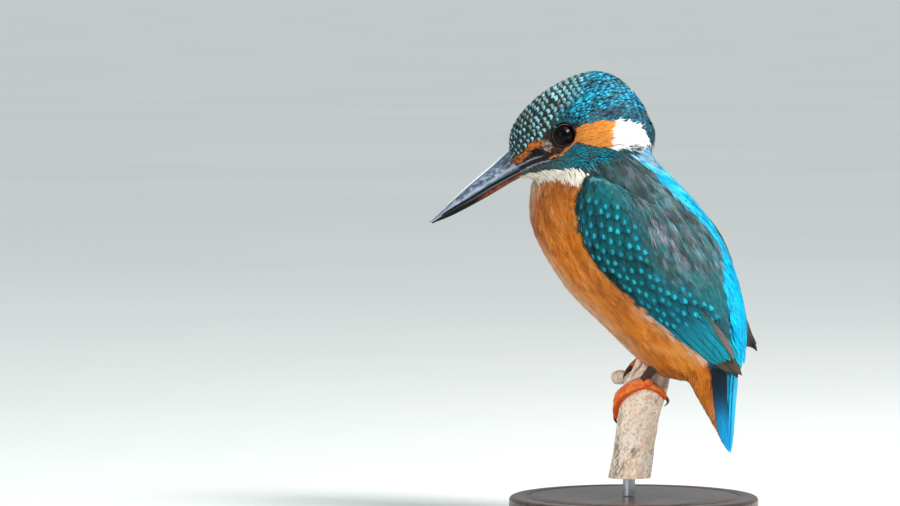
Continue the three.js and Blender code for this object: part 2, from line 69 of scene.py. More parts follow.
def ramp(value: Array | float, start: float, end: float) -> Array:
    """Rises smoothly from 0 at start to 1 at end.

    Args:
        value: The places to read.
        start: Where the rise begins.
        end: Where it is complete; it may lie below start.

    Returns:
        The share risen at each place.
    """
    share = np.clip((np.asarray(value, float) - start) / (end - start), 0, 1)
    return share * share * (3 - 2 * share)


def curve(*keys: tuple[float, float]) -> Callable[[Array], Array]:
    """Makes a function through (place, value) keys, straight between them and flat outside."""
    places, values = zip(*keys)
    return lambda place: np.interp(place, places, values)


def unit(vectors: Array) -> Array:
    """Scales each row to a length of one."""
    return vectors / np.maximum(np.linalg.norm(vectors, axis=-1, keepdims=True), 1e-9)


def flatten(vectors: Array, normals: Array) -> Array:
    """Turns each vector into the plane across its normal, at unit length."""
    along = np.sum(vectors * normals, axis=-1, keepdims=True)
    return unit(vectors - along * normals)


def fraction(values: Array) -> Array:
    """Gives the part of each value above its whole number."""
    return values - np.floor(values)


def cloud(points: Array, size: float, seed: int = 0) -> Array:
    """Reads a smooth random field.

    Args:
        points: Places in millimetres.
        size: How far apart its hills are, in millimetres.
        seed: Picks one of many fields.

    Returns:
        A value from 0 to 1 at each place.
    """
    cell = np.floor(points / size)
    inner = points / size - cell
    inner = inner * inner * (3 - 2 * inner)
    total = np.zeros(len(points))
    for corner in product((0, 1), repeat=3):
        place = cell + corner
        wave = np.sin(place @ SCATTER + seed * 4.137) * SCATTER_SCALE
        weight = np.prod(np.where(corner, inner, 1 - inner), axis=1)
        total += fraction(wave) * weight
    return total


def depth_in(places: Array, outline: Sequence[tuple[float, float]]) -> Array:
    """Measures how far each flat place lies inside a closed outline.

    Args:
        places: (n, 2) places.
        outline: The outline's corners in order.

    Returns:
        The distance to the outline, positive inside and negative outside.
    """
    nearest = np.full(len(places), 1e9)
    inside = np.zeros(len(places), bool)
    corners = np.array(outline, float)
    for start, end in zip(corners, np.roll(corners, -1, axis=0)):
        edge, offset = end - start, places - start
        share = np.clip(offset @ edge / (edge @ edge), 0, 1)
        nearest = np.minimum(nearest, np.linalg.norm(offset - share[:, None] * edge, axis=1))
        crosses = (start[1] > places[:, 1]) != (end[1] > places[:, 1])
        rise = edge[1] if edge[1] else 1e-9
        inside ^= crosses & (places[:, 0] < edge[0] * (places[:, 1] - start[1]) / rise + start[0])
    return np.where(inside, nearest, -nearest)


def linear(red: int, green: int, blue: int) -> Array:
    """Turns a screen colour of 0 to 255 a channel into linear light."""
    value = np.array([red, green, blue]) / 255
    return np.where(value <= 0.04045, value / 12.92, ((value + 0.055) / 1.055) ** 2.4)


def mix(first: Array, second: Array, share: Array) -> Array:
    """Blends rows of colour."""
    share = np.asarray(share, float)
    return first + (second - first) * (share[:, None] if share.ndim else share)


def shades(first: tuple[int, int, int], second: tuple[int, int, int], share: Array) -> Array:
    """Blends two screen colours."""
    return mix(linear(*first), linear(*second), share)


def layered(tone: Array, *coats: tuple[tuple[int, int, int], Array]) -> Array:
    """Lays thin coats of colour one over another.

    Args:
        tone: The colour below them.
        coats: The screen colour of each and the share of it that shows.

    Returns:
        The colour of them all.
    """
    for colour, share in coats:
        tone = mix(tone, linear(*colour), share)
    return tone


def turns(count: int) -> Array:
    """Gives that many even steps of one full turn."""
    return np.linspace(0, math.tau, count, endpoint=False)


def angle_gap(first: Array, second: Array | float) -> Array:
    """Gives the signed turn between two angles, from -pi to pi."""
    return (np.asarray(first) - second + math.pi) % math.tau - math.pi


def near(value: Array, middle: float, outer: float, inner: float) -> Array:
    """Rises from 0 at outer away from a middle value to 1 at inner."""
    return ramp(np.abs(value - middle), outer, inner)


# ---------------------------------------------------------------- the bird's own axes


@dataclass(frozen=True)
class Axes:
    """Right-handed axes laid in the frame: an origin in millimetres and three unit rows."""

    origin: Array
    rows: Array

    def local(self, points: Array) -> Array:
        """Turns frame places into places along these axes."""
        return (points - self.origin) @ self.rows.T

    def world(self, places: Array) -> Array:
        """Turns places along these axes into frame places."""
        return self.origin + np.asarray(places, float) @ self.rows

    def aim(self, vectors: Array) -> Array:
        """Turns directions along these axes into frame directions."""
        return np.asarray(vectors, float) @ self.rows


def spine_axes() -> Axes:
    """Makes the trunk's axes: to the bird's left, out of its back, and down its spine.

    Returns:
        The axes.
    """
    lean = math.radians(34.6)
    rows = [(1, 0, 0), (0, math.cos(lean), math.sin(lean)), (0, math.sin(lean), -math.cos(lean))]
    return Axes(np.array([0, -11.2, 108.5]), np.array(rows))


def head_axes() -> Axes:
    """Makes the head's axes: to its left, towards its nape, and up through its crown.

    Returns:
        The axes.
    """
    turn, dip = math.radians(24), math.radians(23)
    rows = [
        (math.cos(turn), math.sin(turn), 0),
        (-math.sin(turn) * math.cos(dip), math.cos(turn) * math.cos(dip), math.sin(dip)),
        (math.sin(turn) * math.sin(dip), -math.cos(turn) * math.sin(dip), math.cos(dip)),
    ]
    return Axes(np.array([4.0, -17.0, 126.0]), np.array(rows))


def tail_axes() -> Axes:
    """Makes the tail's axes: to its left, behind it, and back up along it.

    Returns:
        The axes.
    """
    tuck = math.radians(-3.8)
    rows = [(1, 0, 0), (0, math.cos(tuck), math.sin(tuck)), (0, -math.sin(tuck), math.cos(tuck))]
    return Axes(np.array([0.0, 35.6, 52.0]), np.array(rows))


SPINE = spine_axes()
TAIL = tail_axes()
HEAD = head_axes()
BILL_BASE = np.array([0.0, -24.0, -1.5])
EYE_PLACE = np.array([10.5, -5.5, 0.1])
UP_THE_NECK = np.array([0.048, -0.269, 0.962])


def above_neck(points: Array, height: float) -> Array:
    """Gives how far places lie above a cut across the neck at a height."""
    return (points - (0, -12.5, height)) @ UP_THE_NECK


# ---------------------------------------------------------------- finishes and materials


@dataclass(frozen=True)
class FeatherFinish:
    """How one kind of feather takes light, and the mark that each vane carries.

    The mark is a patch of the accent colour between two places along the vane, and no wider than
    a share of it.
    """

    name: str
    roughness: float = 0.62
    sheen: float = 0.04
    mark_start: float = 0.6
    mark_end: float = 0.85
    mark_width: float = 0.8
    mark_taper: float = 0.0
    mark_curl: float = 0.0
    clumps: float = 0.0
    barbs: float = 18.0
    slant: float = 2.0
    barb_shade: float = 0.25
    barb_depth: float = 0.35
    edge_shade: float = 0.25
    root_shade: float = 0.35


@dataclass(frozen=True)
class SolidFinish:
    """A hard surface: two colours clouded together, with flecks, gloss and a fine bump."""

    name: str
    first: Colour
    second: Colour
    cloud_scale: float = 200.0
    fleck: Colour = (0.0, 0.0, 0.0)
    fleck_scale: float = 900.0
    fleck_amount: float = 0.0
    roughness: float = 0.5
    roughness_spread: float = 0.15
    grain_scale: float = 1500.0
    bump: float = 0.2
    metallic: float = 0.0
    coat: float = 0.0
    specular: float = 0.5
    stretch: Colour = (1.0, 1.0, 1.0)


class Tree:
    """A short way to write a node tree."""

    def __init__(self, tree: bpy.types.NodeTree) -> None:
        """Starts on an empty tree."""
        self.tree = tree
        tree.nodes.clear()

    def add(self, kind: str, inputs: dict | None = None, **settings: object) -> bpy.types.Node:
        """Adds a node.

        Args:
            kind: The node's type, without its ShaderNode prefix where it has one.
            inputs: Values or output sockets by input name or index.
            settings: Attributes of the node itself.

        Returns:
            The new node.
        """
        full = kind if kind.startswith("NodeGroup") else "ShaderNode" + kind
        node = self.tree.nodes.new(full)
        for key, value in settings.items():
            setattr(node, key, value)
        for key, value in (inputs or {}).items():
            if isinstance(value, bpy.types.NodeSocket):
                self.tree.links.new(value, node.inputs[key])
            else:
                node.inputs[key].default_value = value
        return node

    def maths(self, operation: str, *values: object, clamp: bool = False) -> bpy.types.NodeSocket:
        """Adds a Math node and gives its output."""
        node = self.add("Math", dict(enumerate(values)), operation=operation, use_clamp=clamp)
        return node.outputs[0]

    def times(self, first: object, second: object, clamp: bool = False) -> bpy.types.NodeSocket:
        """Adds a product and gives its output."""
        return self.maths("MULTIPLY", first, second, clamp=clamp)

    def plus(self, first: object, second: object, clamp: bool = False) -> bpy.types.NodeSocket:
        """Adds a sum and gives its output."""
        return self.maths("ADD", first, second, clamp=clamp)

    def minus(self, first: object, second: object) -> bpy.types.NodeSocket:
        """Adds a difference and gives its output."""
        return self.maths("SUBTRACT", first, second)

    def blend(self, share: object, first: object, second: object) -> bpy.types.NodeSocket:
        """Adds a colour Mix node and gives its output."""
        return self.add("Mix", {0: share, 6: first, 7: second}, data_type="RGBA").outputs[2]

    def rise(self, value: object, start: object, end: object) -> bpy.types.NodeSocket:
        """Adds a smooth rise from 0 at start to 1 at end.

        Args:
            value: What is read.
            start: Where the rise begins.
            end: Where it is complete.

        Returns:
            The share risen.
        """
        node = self.add(
            "MapRange", {0: value, 1: start, 2: end, 3: 0.0, 4: 1.0}, interpolation_type="SMOOTHSTEP"
        )
        return node.outputs[0]


def group_sockets(
    tree: bpy.types.NodeTree, inputs: Sequence[tuple[str, str, object]], outputs: Sequence[tuple[str, str]]
) -> None:
    """Gives a node group its named sockets.

    Args:
        tree: The group's tree.
        inputs: (name, type, default) for each input.
        outputs: (name, type) for each output.
    """
    for name, kind, default in inputs:
        socket = tree.interface.new_socket(name, in_out="INPUT", socket_type="NodeSocket" + kind)
        socket.default_value = default
    for name, kind in outputs:
        tree.interface.new_socket(name, in_out="OUTPUT", socket_type="NodeSocket" + kind)


def vane_group() -> bpy.types.NodeTree:
    """Builds the group that draws one feather: its tone, its mark, its barbs and its edge.

    It reads the vane attribute, which holds the place across the vane from -1 to 1, the place
    along it from 0 to 1, and a random number of the feather's own.

    Returns:
        The node group.
    """
    tree = bpy.data.node_groups.new("feather_vane", "ShaderNodeTree")
    group_sockets(
        tree,
        [
            ("Tone", "Color", (0.5, 0.5, 0.5, 1)),
            ("Accent", "Color", (0.5, 0.5, 0.5, 1)),
            ("Strength", "Float", 1.0),
            ("Mark Start", "Float", 0.6),
            ("Mark End", "Float", 0.85),
            ("Mark Width", "Float", 0.8),
            ("Mark Taper", "Float", 0.0),
            ("Mark Curl", "Float", 0.0),
            ("Clumps", "Float", 0.0),
            ("Barbs", "Float", 18.0),
            ("Slant", "Float", 2.0),
            ("Barb Shade", "Float", 0.25),
            ("Edge Shade", "Float", 0.25),
            ("Root Shade", "Float", 0.35),
        ],
        [("Color", "Color"), ("Height", "Float"), ("Gloss", "Float")],
    )
    kit = Tree(tree)
    given = kit.add("NodeGroupInput").outputs
    vane = kit.add("Attribute", attribute_name="vane")
    split = kit.add("SeparateXYZ", {0: vane.outputs["Vector"]})
    across = kit.maths("ABSOLUTE", split.outputs[0])
    along, own = split.outputs[1], split.outputs[2]

    # The barbs run from the shaft outwards and towards the tip.
    lean = kit.times(across, given["Slant"])
    phase = kit.minus(kit.times(along, given["Barbs"]), lean)
    wave = kit.maths("SINE", kit.times(phase, math.tau))
    ridge = kit.maths("MULTIPLY_ADD", wave, 0.5, 0.5)
    shaft = kit.minus(1.0, kit.rise(across, 0.0, 0.12))
    clump = kit.add("CombineXYZ", {0: phase, 1: kit.times(own, 57.0), 2: split.outputs[0]})
    clump = kit.add("TexNoise", {"Vector": clump.outputs[0], "Scale": 0.8, "Detail": 3.0}).outputs["Fac"]
    clump = kit.times(kit.rise(clump, 0.62, 0.36), given["Clumps"])

    # The mark fades in and out along the vane, bends with its tip and narrows towards its start.
    along = kit.maths("MULTIPLY_ADD", kit.times(across, across), given["Mark Curl"], along)
    middle = kit.times(kit.plus(given["Mark Start"], given["Mark End"]), 0.5)
    rising = kit.rise(along, given["Mark Start"], middle)
    rising = kit.maths("POWER", rising, 0.6)
    falling = kit.rise(along, kit.plus(given["Mark End"], 0.07), given["Mark End"])
    span = kit.minus(given["Mark End"], given["Mark Start"])
    risen = kit.maths("DIVIDE", kit.minus(along, given["Mark Start"]), span, clamp=True)
    narrow = kit.times(given["Mark Taper"], kit.minus(1.0, risen))
    width = kit.times(given["Mark Width"], kit.minus(1.0, narrow))
    beside = kit.rise(across, kit.plus(width, 0.22), kit.minus(width, 0.12))
    mark = kit.times(kit.times(rising, falling), beside)
    outer = kit.plus(given["Mark Width"], 0.55)
    skirt = kit.rise(across, outer, kit.times(given["Mark Width"], 0.5))
    skirt = kit.times(skirt, kit.rise(along, middle, given["Mark End"]))
    skirt = kit.times(skirt, falling)
    mark = kit.maths("MAXIMUM", mark, kit.times(skirt, 0.35))
    mark = kit.times(mark, given["Strength"], clamp=True)

    own_shade = kit.maths("MULTIPLY_ADD", own, 0.2, 0.9)
    tone = kit.add("VectorMath", {0: given["Tone"], 3: own_shade}, operation="SCALE").outputs[0]
    colour = kit.blend(mark, tone, given["Accent"])
    grooves = kit.times(kit.minus(1.0, ridge), given["Barb Shade"])
    edge = kit.times(kit.rise(across, 0.7, 1.0), given["Edge Shade"])
    root = kit.times(kit.rise(split.outputs[1], 0.55, 0.1), given["Root Shade"])
    dark = kit.plus(kit.plus(grooves, edge), kit.plus(root, clump), clamp=True)
    shaded = kit.add("VectorMath", {0: colour, 3: kit.minus(1.0, dark)}, operation="SCALE")
    height = kit.plus(kit.times(ridge, 0.6), kit.times(shaft, 0.4))
    kit.add("NodeGroupOutput", {0: shaded.outputs[0], 1: height, 2: mark})
    return tree


def clouded_group() -> bpy.types.NodeTree:
    """Builds the group that clouds two colours together and flecks them, for hard surfaces.

    Returns:
        The node group.
    """
    tree = bpy.data.node_groups.new("clouded_surface", "ShaderNodeTree")
    group_sockets(
        tree,
        [
            ("First", "Color", (0.5, 0.5, 0.5, 1)),
            ("Second", "Color", (0.4, 0.4, 0.4, 1)),
            ("Fleck", "Color", (0, 0, 0, 1)),
            ("Cloud Scale", "Float", 200.0),
            ("Fleck Scale", "Float", 900.0),
            ("Fleck Amount", "Float", 0.0),
            ("Grain Scale", "Float", 1500.0),
            ("Roughness", "Float", 0.5),
            ("Roughness Spread", "Float", 0.15),
            ("Stretch", "Vector", (1, 1, 1)),
        ],
        [("Color", "Color"), ("Roughness", "Float"), ("Height", "Float")],
    )
    kit = Tree(tree)
    given = kit.add("NodeGroupInput").outputs
    place = kit.add("TexCoord").outputs["Object"]
    place = kit.add("VectorMath", {0: place, 1: given["Stretch"]}, operation="MULTIPLY").outputs[0]
    clouds = kit.add("TexNoise", {"Vector": place, "Scale": given["Cloud Scale"], "Detail": 5.0})
    soft = kit.rise(clouds.outputs["Fac"], 0.35, 0.65)
    flecks = kit.add("TexNoise", {"Vector": place, "Scale": given["Fleck Scale"], "Detail": 3.0})
    edge = kit.minus(0.72, kit.times(given["Fleck Amount"], 0.3))
    fleck = kit.rise(flecks.outputs["Fac"], edge, kit.plus(edge, 0.06))
    fleck = kit.times(fleck, kit.rise(given["Fleck Amount"], 0.0, 0.05))
    colour = kit.blend(fleck, kit.blend(soft, given["First"], given["Second"]), given["Fleck"])
    grain = kit.add("TexNoise", {"Vector": place, "Scale": given["Grain Scale"], "Detail": 4.0})
    spread = kit.minus(grain.outputs["Fac"], 0.5)
    spread = kit.times(spread, given["Roughness Spread"])
    rough = kit.maths("MULTIPLY_ADD", spread, 2.0, given["Roughness"], clamp=True)
    height = kit.maths("MULTIPLY_ADD", clouds.outputs["Fac"], 0.5, grain.outputs["Fac"])
    kit.add("NodeGroupOutput", {0: colour, 1: rough, 2: height})
    return tree


def opaque(colour: Sequence[float]) -> tuple[float, float, float, float]:
    """Adds a full alpha to a colour."""
    return (*map(float, colour), 1.0)


class Materials:
    """Makes each finish's material once."""

    def __init__(self) -> None:
        """Builds the shared groups."""
        self.vane = vane_group()
        self.clouded = clouded_group()

    def _start(self, name: str) -> tuple[bpy.types.Material, Tree]:
        """Makes an empty node material.

        Args:
            name: The material's name.

        Returns:
            The material and its tree.
        """
        material = bpy.data.materials.new(name)
        material.use_nodes = True
        return material, Tree(material.node_tree)

    @staticmethod
    def _set(node: bpy.types.Node, finish: FeatherFinish | SolidFinish) -> None:
        """Gives a group each value of a finish that it has a socket for, colours in linear light.

        Args:
            node: The group's node.
            finish: The finish.
        """
        for setting in fields(finish):
            socket = node.inputs.get(setting.name.replace("_", " ").title())
            value = getattr(finish, setting.name)
            if socket:
                socket.default_value = opaque(linear(*value)) if socket.type == "RGBA" else value

    def feather(self, finish: FeatherFinish) -> bpy.types.Material:
        """Makes a feather material that reads the tone and accent laid on the vanes.

        Args:
            finish: The kind of feather.

        Returns:
            The material.
        """
        material, kit = self._start(finish.name)
        tone = kit.add("Attribute", attribute_name="tone").outputs
        accent = kit.add("Attribute", attribute_name="accent").outputs
        vane = kit.add("Group", node_tree=self.vane)
        self._set(vane, finish)
        laid = {"Tone": tone["Color"], "Accent": accent["Color"], "Strength": accent["Alpha"]}
        for name, socket in laid.items():
            kit.tree.links.new(socket, vane.inputs[name])
        relief = {"Strength": finish.barb_depth, "Distance": 0.0001, "Height": vane.outputs["Height"]}
        bump = kit.add("Bump", relief)
        rough = kit.maths("MULTIPLY_ADD", vane.outputs["Gloss"], -0.14, finish.roughness)
        shader = kit.add(
            "BsdfPrincipled",
            {
                "Base Color": vane.outputs["Color"],
                "Roughness": rough,
                "Normal": bump.outputs[0],
                "Sheen Weight": finish.sheen,
                "Sheen Roughness": 0.5,
                "Specular IOR Level": 0.16,
            },
        )
        kit.add("OutputMaterial", {0: shader.outputs[0]})
        return material

    def skin(self, name: str) -> bpy.types.Material:
        """Makes the matte material of the skin, painted with the plumage's own tones.

        Args:
            name: The material's name.

        Returns:
            The material.
        """
        material, kit = self._start(name)
        tone = kit.add("Attribute", attribute_name="tone")
        place = kit.add("TexCoord").outputs["Object"]
        down = kit.add("TexNoise", {"Vector": place, "Scale": 2200.0, "Detail": 4.0})
        shade = kit.maths("MULTIPLY_ADD", down.outputs["Fac"], 0.6, 0.4)
        colour = kit.add("VectorMath", {0: tone.outputs["Color"], 3: shade}, operation="SCALE")
        bump = kit.add("Bump", {"Strength": 0.5, "Distance": 0.0002, "Height": down.outputs["Fac"]})
        shader = kit.add(
            "BsdfPrincipled",
            {"Base Color": colour.outputs[0], "Roughness": 0.85, "Normal": bump.outputs[0]},
        )
        kit.add("OutputMaterial", {0: shader.outputs[0]})
        return material

    def solid(self, finish: SolidFinish, painted: bool = False) -> bpy.types.Material:
        """Makes a hard material.

        Args:
            finish: Its colours, gloss and bump.
            painted: Whether the piece carries a tone attribute that tints the colours.

        Returns:
            The material.
        """
        material, kit = self._start(finish.name)
        group = kit.add("Group", node_tree=self.clouded)
        self._set(group, finish)
        colour = group.outputs["Color"]
        if painted:
            tone = kit.add("Attribute", attribute_name="tone")
            colour = kit.blend(tone.outputs["Alpha"], colour, tone.outputs["Color"])
        relief = {"Strength": finish.bump, "Distance": 0.0003, "Height": group.outputs["Height"]}
        bump = kit.add("Bump", relief)
        shader = kit.add(
            "BsdfPrincipled",
            {
                "Base Color": colour,
                "Roughness": group.outputs["Roughness"],
                "Metallic": finish.metallic,
                "Normal": bump.outputs[0],
                "Coat Weight": finish.coat,
                "Coat Roughness": 0.12,
                "Specular IOR Level": finish.specular,
            },
        )
        kit.add("OutputMaterial", {0: shader.outputs[0]})
        return material


# ---------------------------------------------------------------- meshes


def linked(name: str, data: bpy.types.ID) -> bpy.types.Object:
    """Makes an object of a mesh, a camera or a light, linked to the scene.

    Args:
        name: The object's name.
        data: What it shows.

    Returns:
        The object.
    """
    thing = bpy.data.objects.new(name, data)
    bpy.context.scene.collection.objects.link(thing)
    return thing


def new_piece(name: str, points: Array, faces: Sequence[Sequence[int]]) -> bpy.types.Object:
    """Makes a smooth mesh object from points in millimetres.

    Args:
        name: The piece's name.
        points: (n, 3) places in the frame.
        faces: Corner numbers of each face.

    Returns:
        The object, linked to the scene.
    """
    mesh = bpy.data.meshes.new(name)
    mesh.from_pydata((np.asarray(points) * MM).tolist(), [], [list(f) for f in faces])
    mesh.polygons.foreach_set("use_smooth", [True] * len(mesh.polygons))
    mesh.update()
    return linked(name, mesh)


def paint(piece: bpy.types.Object, name: str, colours: Array) -> None:
    """Lays a colour with alpha on every point of a piece."""
    layer = piece.data.color_attributes.new(name, "FLOAT_COLOR", "POINT")
    layer.data.foreach_set("color", np.ascontiguousarray(colours, np.float32).ravel())


def with_alpha(colours: Array, alpha: Array | float) -> Array:
    """Adds an alpha column to rows of colour."""
    return np.column_stack([colours, np.broadcast_to(alpha, len(colours))])


def settle(piece: bpy.types.Object, material: bpy.types.Material, slot: str, *nodes: str) -> bpy.types.Object:
    """Gives a piece its material and its body, and hides the nodes it stands for.

    Args:
        piece: The piece.
        material: Its material.
        slot: Its material slot; not used.
        nodes: The nodes it stands for.

    Returns:
        The piece.
    """
    piece.data.materials.append(material)
    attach(piece, ROOT)
    if nodes:
        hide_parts(*nodes)
    log.info("%s: %d faces", piece.name, len(piece.data.polygons))
    return piece


def loft(rings: Sequence[Array], closed_ends: bool = True) -> tuple[Array, list[tuple[int, ...]]]:
    """Skins rings of equally many points.

    Args:
        rings: The rings, in order.
        closed_ends: Whether each end is closed by a fan to its middle.

    Returns:
        The points and the faces.
    """
    around = len(rings[0])
    points = np.concatenate(rings)
    faces: list[tuple[int, ...]] = []
    for ring, i in product(range(len(rings) - 1), range(around)):
        j = (i + 1) % around
        low, high = ring * around, (ring + 1) * around
        faces.append((low + i, low + j, high + j, high + i))
    if closed_ends:
        for ring, flip in ((0, True), (len(rings) - 1, False)):
            first, centre = ring * around, len(points)
            points = np.vstack([points, rings[ring].mean(0)])
            for i in range(around):
                pair = (first + i, first + (i + 1) % around)
                faces.append((centre, *(reversed(pair) if flip else pair)))
    return points, faces


def merge(shapes: Sequence[tuple[Array, list]]) -> tuple[Array, list]:
    """Puts several shapes' points and faces into one list each.

    Args:
        shapes: The points and faces of each.

    Returns:
        All the points and all the faces.
    """
    points, faces, start = [], [], 0
    for places, polygons in shapes:
        points.append(places)
        faces += [tuple(corner + start for corner in polygon) for polygon in polygons]
        start += len(places)
    return np.concatenate(points), faces


def face_outwards(piece: bpy.types.Object) -> None:
    """Turns a closed piece's faces to point out.

    Args:
        piece: The piece.
    """
    work = bmesh.new()
    work.from_mesh(piece.data)
    bmesh.ops.recalc_face_normals(work, faces=work.faces)
    work.to_mesh(piece.data)
    work.free()


def closed_piece(
    name: str, shape: tuple[Array, list], material: bpy.types.Material, slot: str, *nodes: str,
    tone: Array | None = None, share: float = 1.0,
) -> bpy.types.Object:
    """Makes a closed piece, paints it and dresses it.

    Args:
        name: The piece's name.
        shape: Its points in millimetres and its faces.
        material: Its material.
        slot: Its material slot.
        nodes: The nodes that it stands for.
        tone: The colour at each point, if it is painted.
        share: How far that colour covers the material's own.

    Returns:
        The piece.
    """
    piece = new_piece(name, *shape)
    face_outwards(piece)
    if tone is not None:
        paint(piece, "tone", with_alpha(tone, share))
    return settle(piece, material, slot, *nodes)


def limb_rings(path: Array, radii: Array, around: int) -> list[Array]:
    """Makes the rings of a tube along a path, with a frame carried along it.

    Args:
        path: (n, 3) centres.
        radii: (n,) radii.
        around: Points in each ring.

    Returns:
        The rings.
    """
    ahead = unit(np.gradient(path, axis=0))
    side = flatten(np.array([0.3, 0.2, 1.0]), ahead[0])
    angles = turns(around)
    rings = []
    for centre, direction, radius in zip(path, ahead, radii):
        side = flatten(side, direction)
        other = np.cross(direction, side)
        offsets = np.outer(np.cos(angles), side) + np.outer(np.sin(angles), other)
        rings.append(centre + offsets * radius)
    return rings


def quad_piece(name: str, points: Array, quads: Array) -> bpy.types.Object:
    """Makes a large smooth mesh object straight from arrays.

    Args:
        name: The piece's name.
        points: (n, 3) places in millimetres.
        quads: (m, 4) corner numbers.

    Returns:
        The object, linked to the scene.
    """
    mesh = bpy.data.meshes.new(name)
    mesh.vertices.add(len(points))
    mesh.vertices.foreach_set("co", np.ascontiguousarray(points * MM, np.float32).ravel())
    mesh.loops.add(quads.size)
    mesh.loops.foreach_set("vertex_index", np.ascontiguousarray(quads, np.int32).ravel())
    mesh.polygons.add(len(quads))
    mesh.polygons.foreach_set("loop_start", np.arange(0, quads.size, 4, dtype=np.int32))
    mesh.polygons.foreach_set("use_smooth", np.ones(len(quads), bool))
    mesh.update(calc_edges=True)
    return linked(name, mesh)


# ---------------------------------------------------------------- the markings


class Zone(IntEnum):
    """The tracts of the plumage."""

    CROWN = 0
    FACE = 1
    EAR = 2
    COLLAR = 3
    THROAT = 4
    MALAR = 5
    BACK = 6
    MANTLE = 7
    COVERT = 8
    BREAST = 9
    VENT = 10
    FLIGHT = 11
    TAIL = 12
    NAPE = 13
    BROW = 14
    LESSER = 15
    CREST = 16
    GAPE = 17


@dataclass
class Marks:
    """What the plumage shows at each place: its tract, its tone, and the accent of its marks."""

    zone: Array
    tone: Array
    accent: Array
    strength: Array

    @classmethod
    def blank(cls, count: int) -> "Marks":
        """Makes the marks of that many places with nothing laid on them yet."""
        return cls(np.full(count, Zone.BREAST), np.zeros((count, 3)), np.zeros((count, 3)), np.zeros(count))

    def lay(
        self, where: Array | slice, zone: Zone, tone: Array, accent: Array | None = None,
        strength: Array | float | None = None,
    ) -> None:
        """Lays one tract over what is there.

        Args:
            where: The places that it covers.
            zone: The tract.
            tone: Its colour, or its colour at each place.
            accent: The colour of its marks at each place; left as it was if not given.
            strength: How strongly they show; left as it was if not given.
        """
        self.zone[where] = zone
        self.tone[where] = np.broadcast_to(tone, self.tone.shape)[where]
        if accent is not None:
            self.accent[where] = accent[where]
        if strength is not None:
            self.strength[where] = np.broadcast_to(strength, self.strength.shape)[where]


class Places:
    """The places of one reading, along the bird's axes, with the noise that the tracts share."""

    def __init__(self, points: Array, plumage: "Plumage") -> None:
        """Finds where the places lie on the head, the trunk and the wings.

        Args:
            points: (n, 3) places in the frame.
            plumage: The pattern that is read.
        """
        waver = np.stack([cloud(points, 1.6, 60 + i) for i in range(3)], 1) - 0.5
        rough = points + waver * 0.9
        self.points = points
        self.side, self.rear, self.rise = HEAD.local(rough).T
        self.face = np.column_stack([self.rear, self.rise])
        self.x, self.out, self.down = SPINE.local(rough).T
        self.on_head = above_neck(points, 113.6) > 0
        self.mottle, self.fine = cloud(points, 2.6, 3), cloud(points, 1.1, 5)
        self.streak = self.strands(1.7, 0.3, 8)
        self.wing_down, self.wing_out = plumage.wing_place(self.x, self.out, self.down)
        self.foot = curve(*plumage.wing_foot)(self.wing_down)
        self.edge = curve(*plumage.covert_edge)(self.wing_down)
        self.on_wing = (self.wing_out > self.foot) & (self.wing_down > -6) & ~self.on_head

    def strands(self, across: float, along: float, seed: int) -> Array:
        """Reads noise that is drawn out down the spine."""
        return cloud(SPINE.local(self.points) * (across, across, along), 1.0, seed)


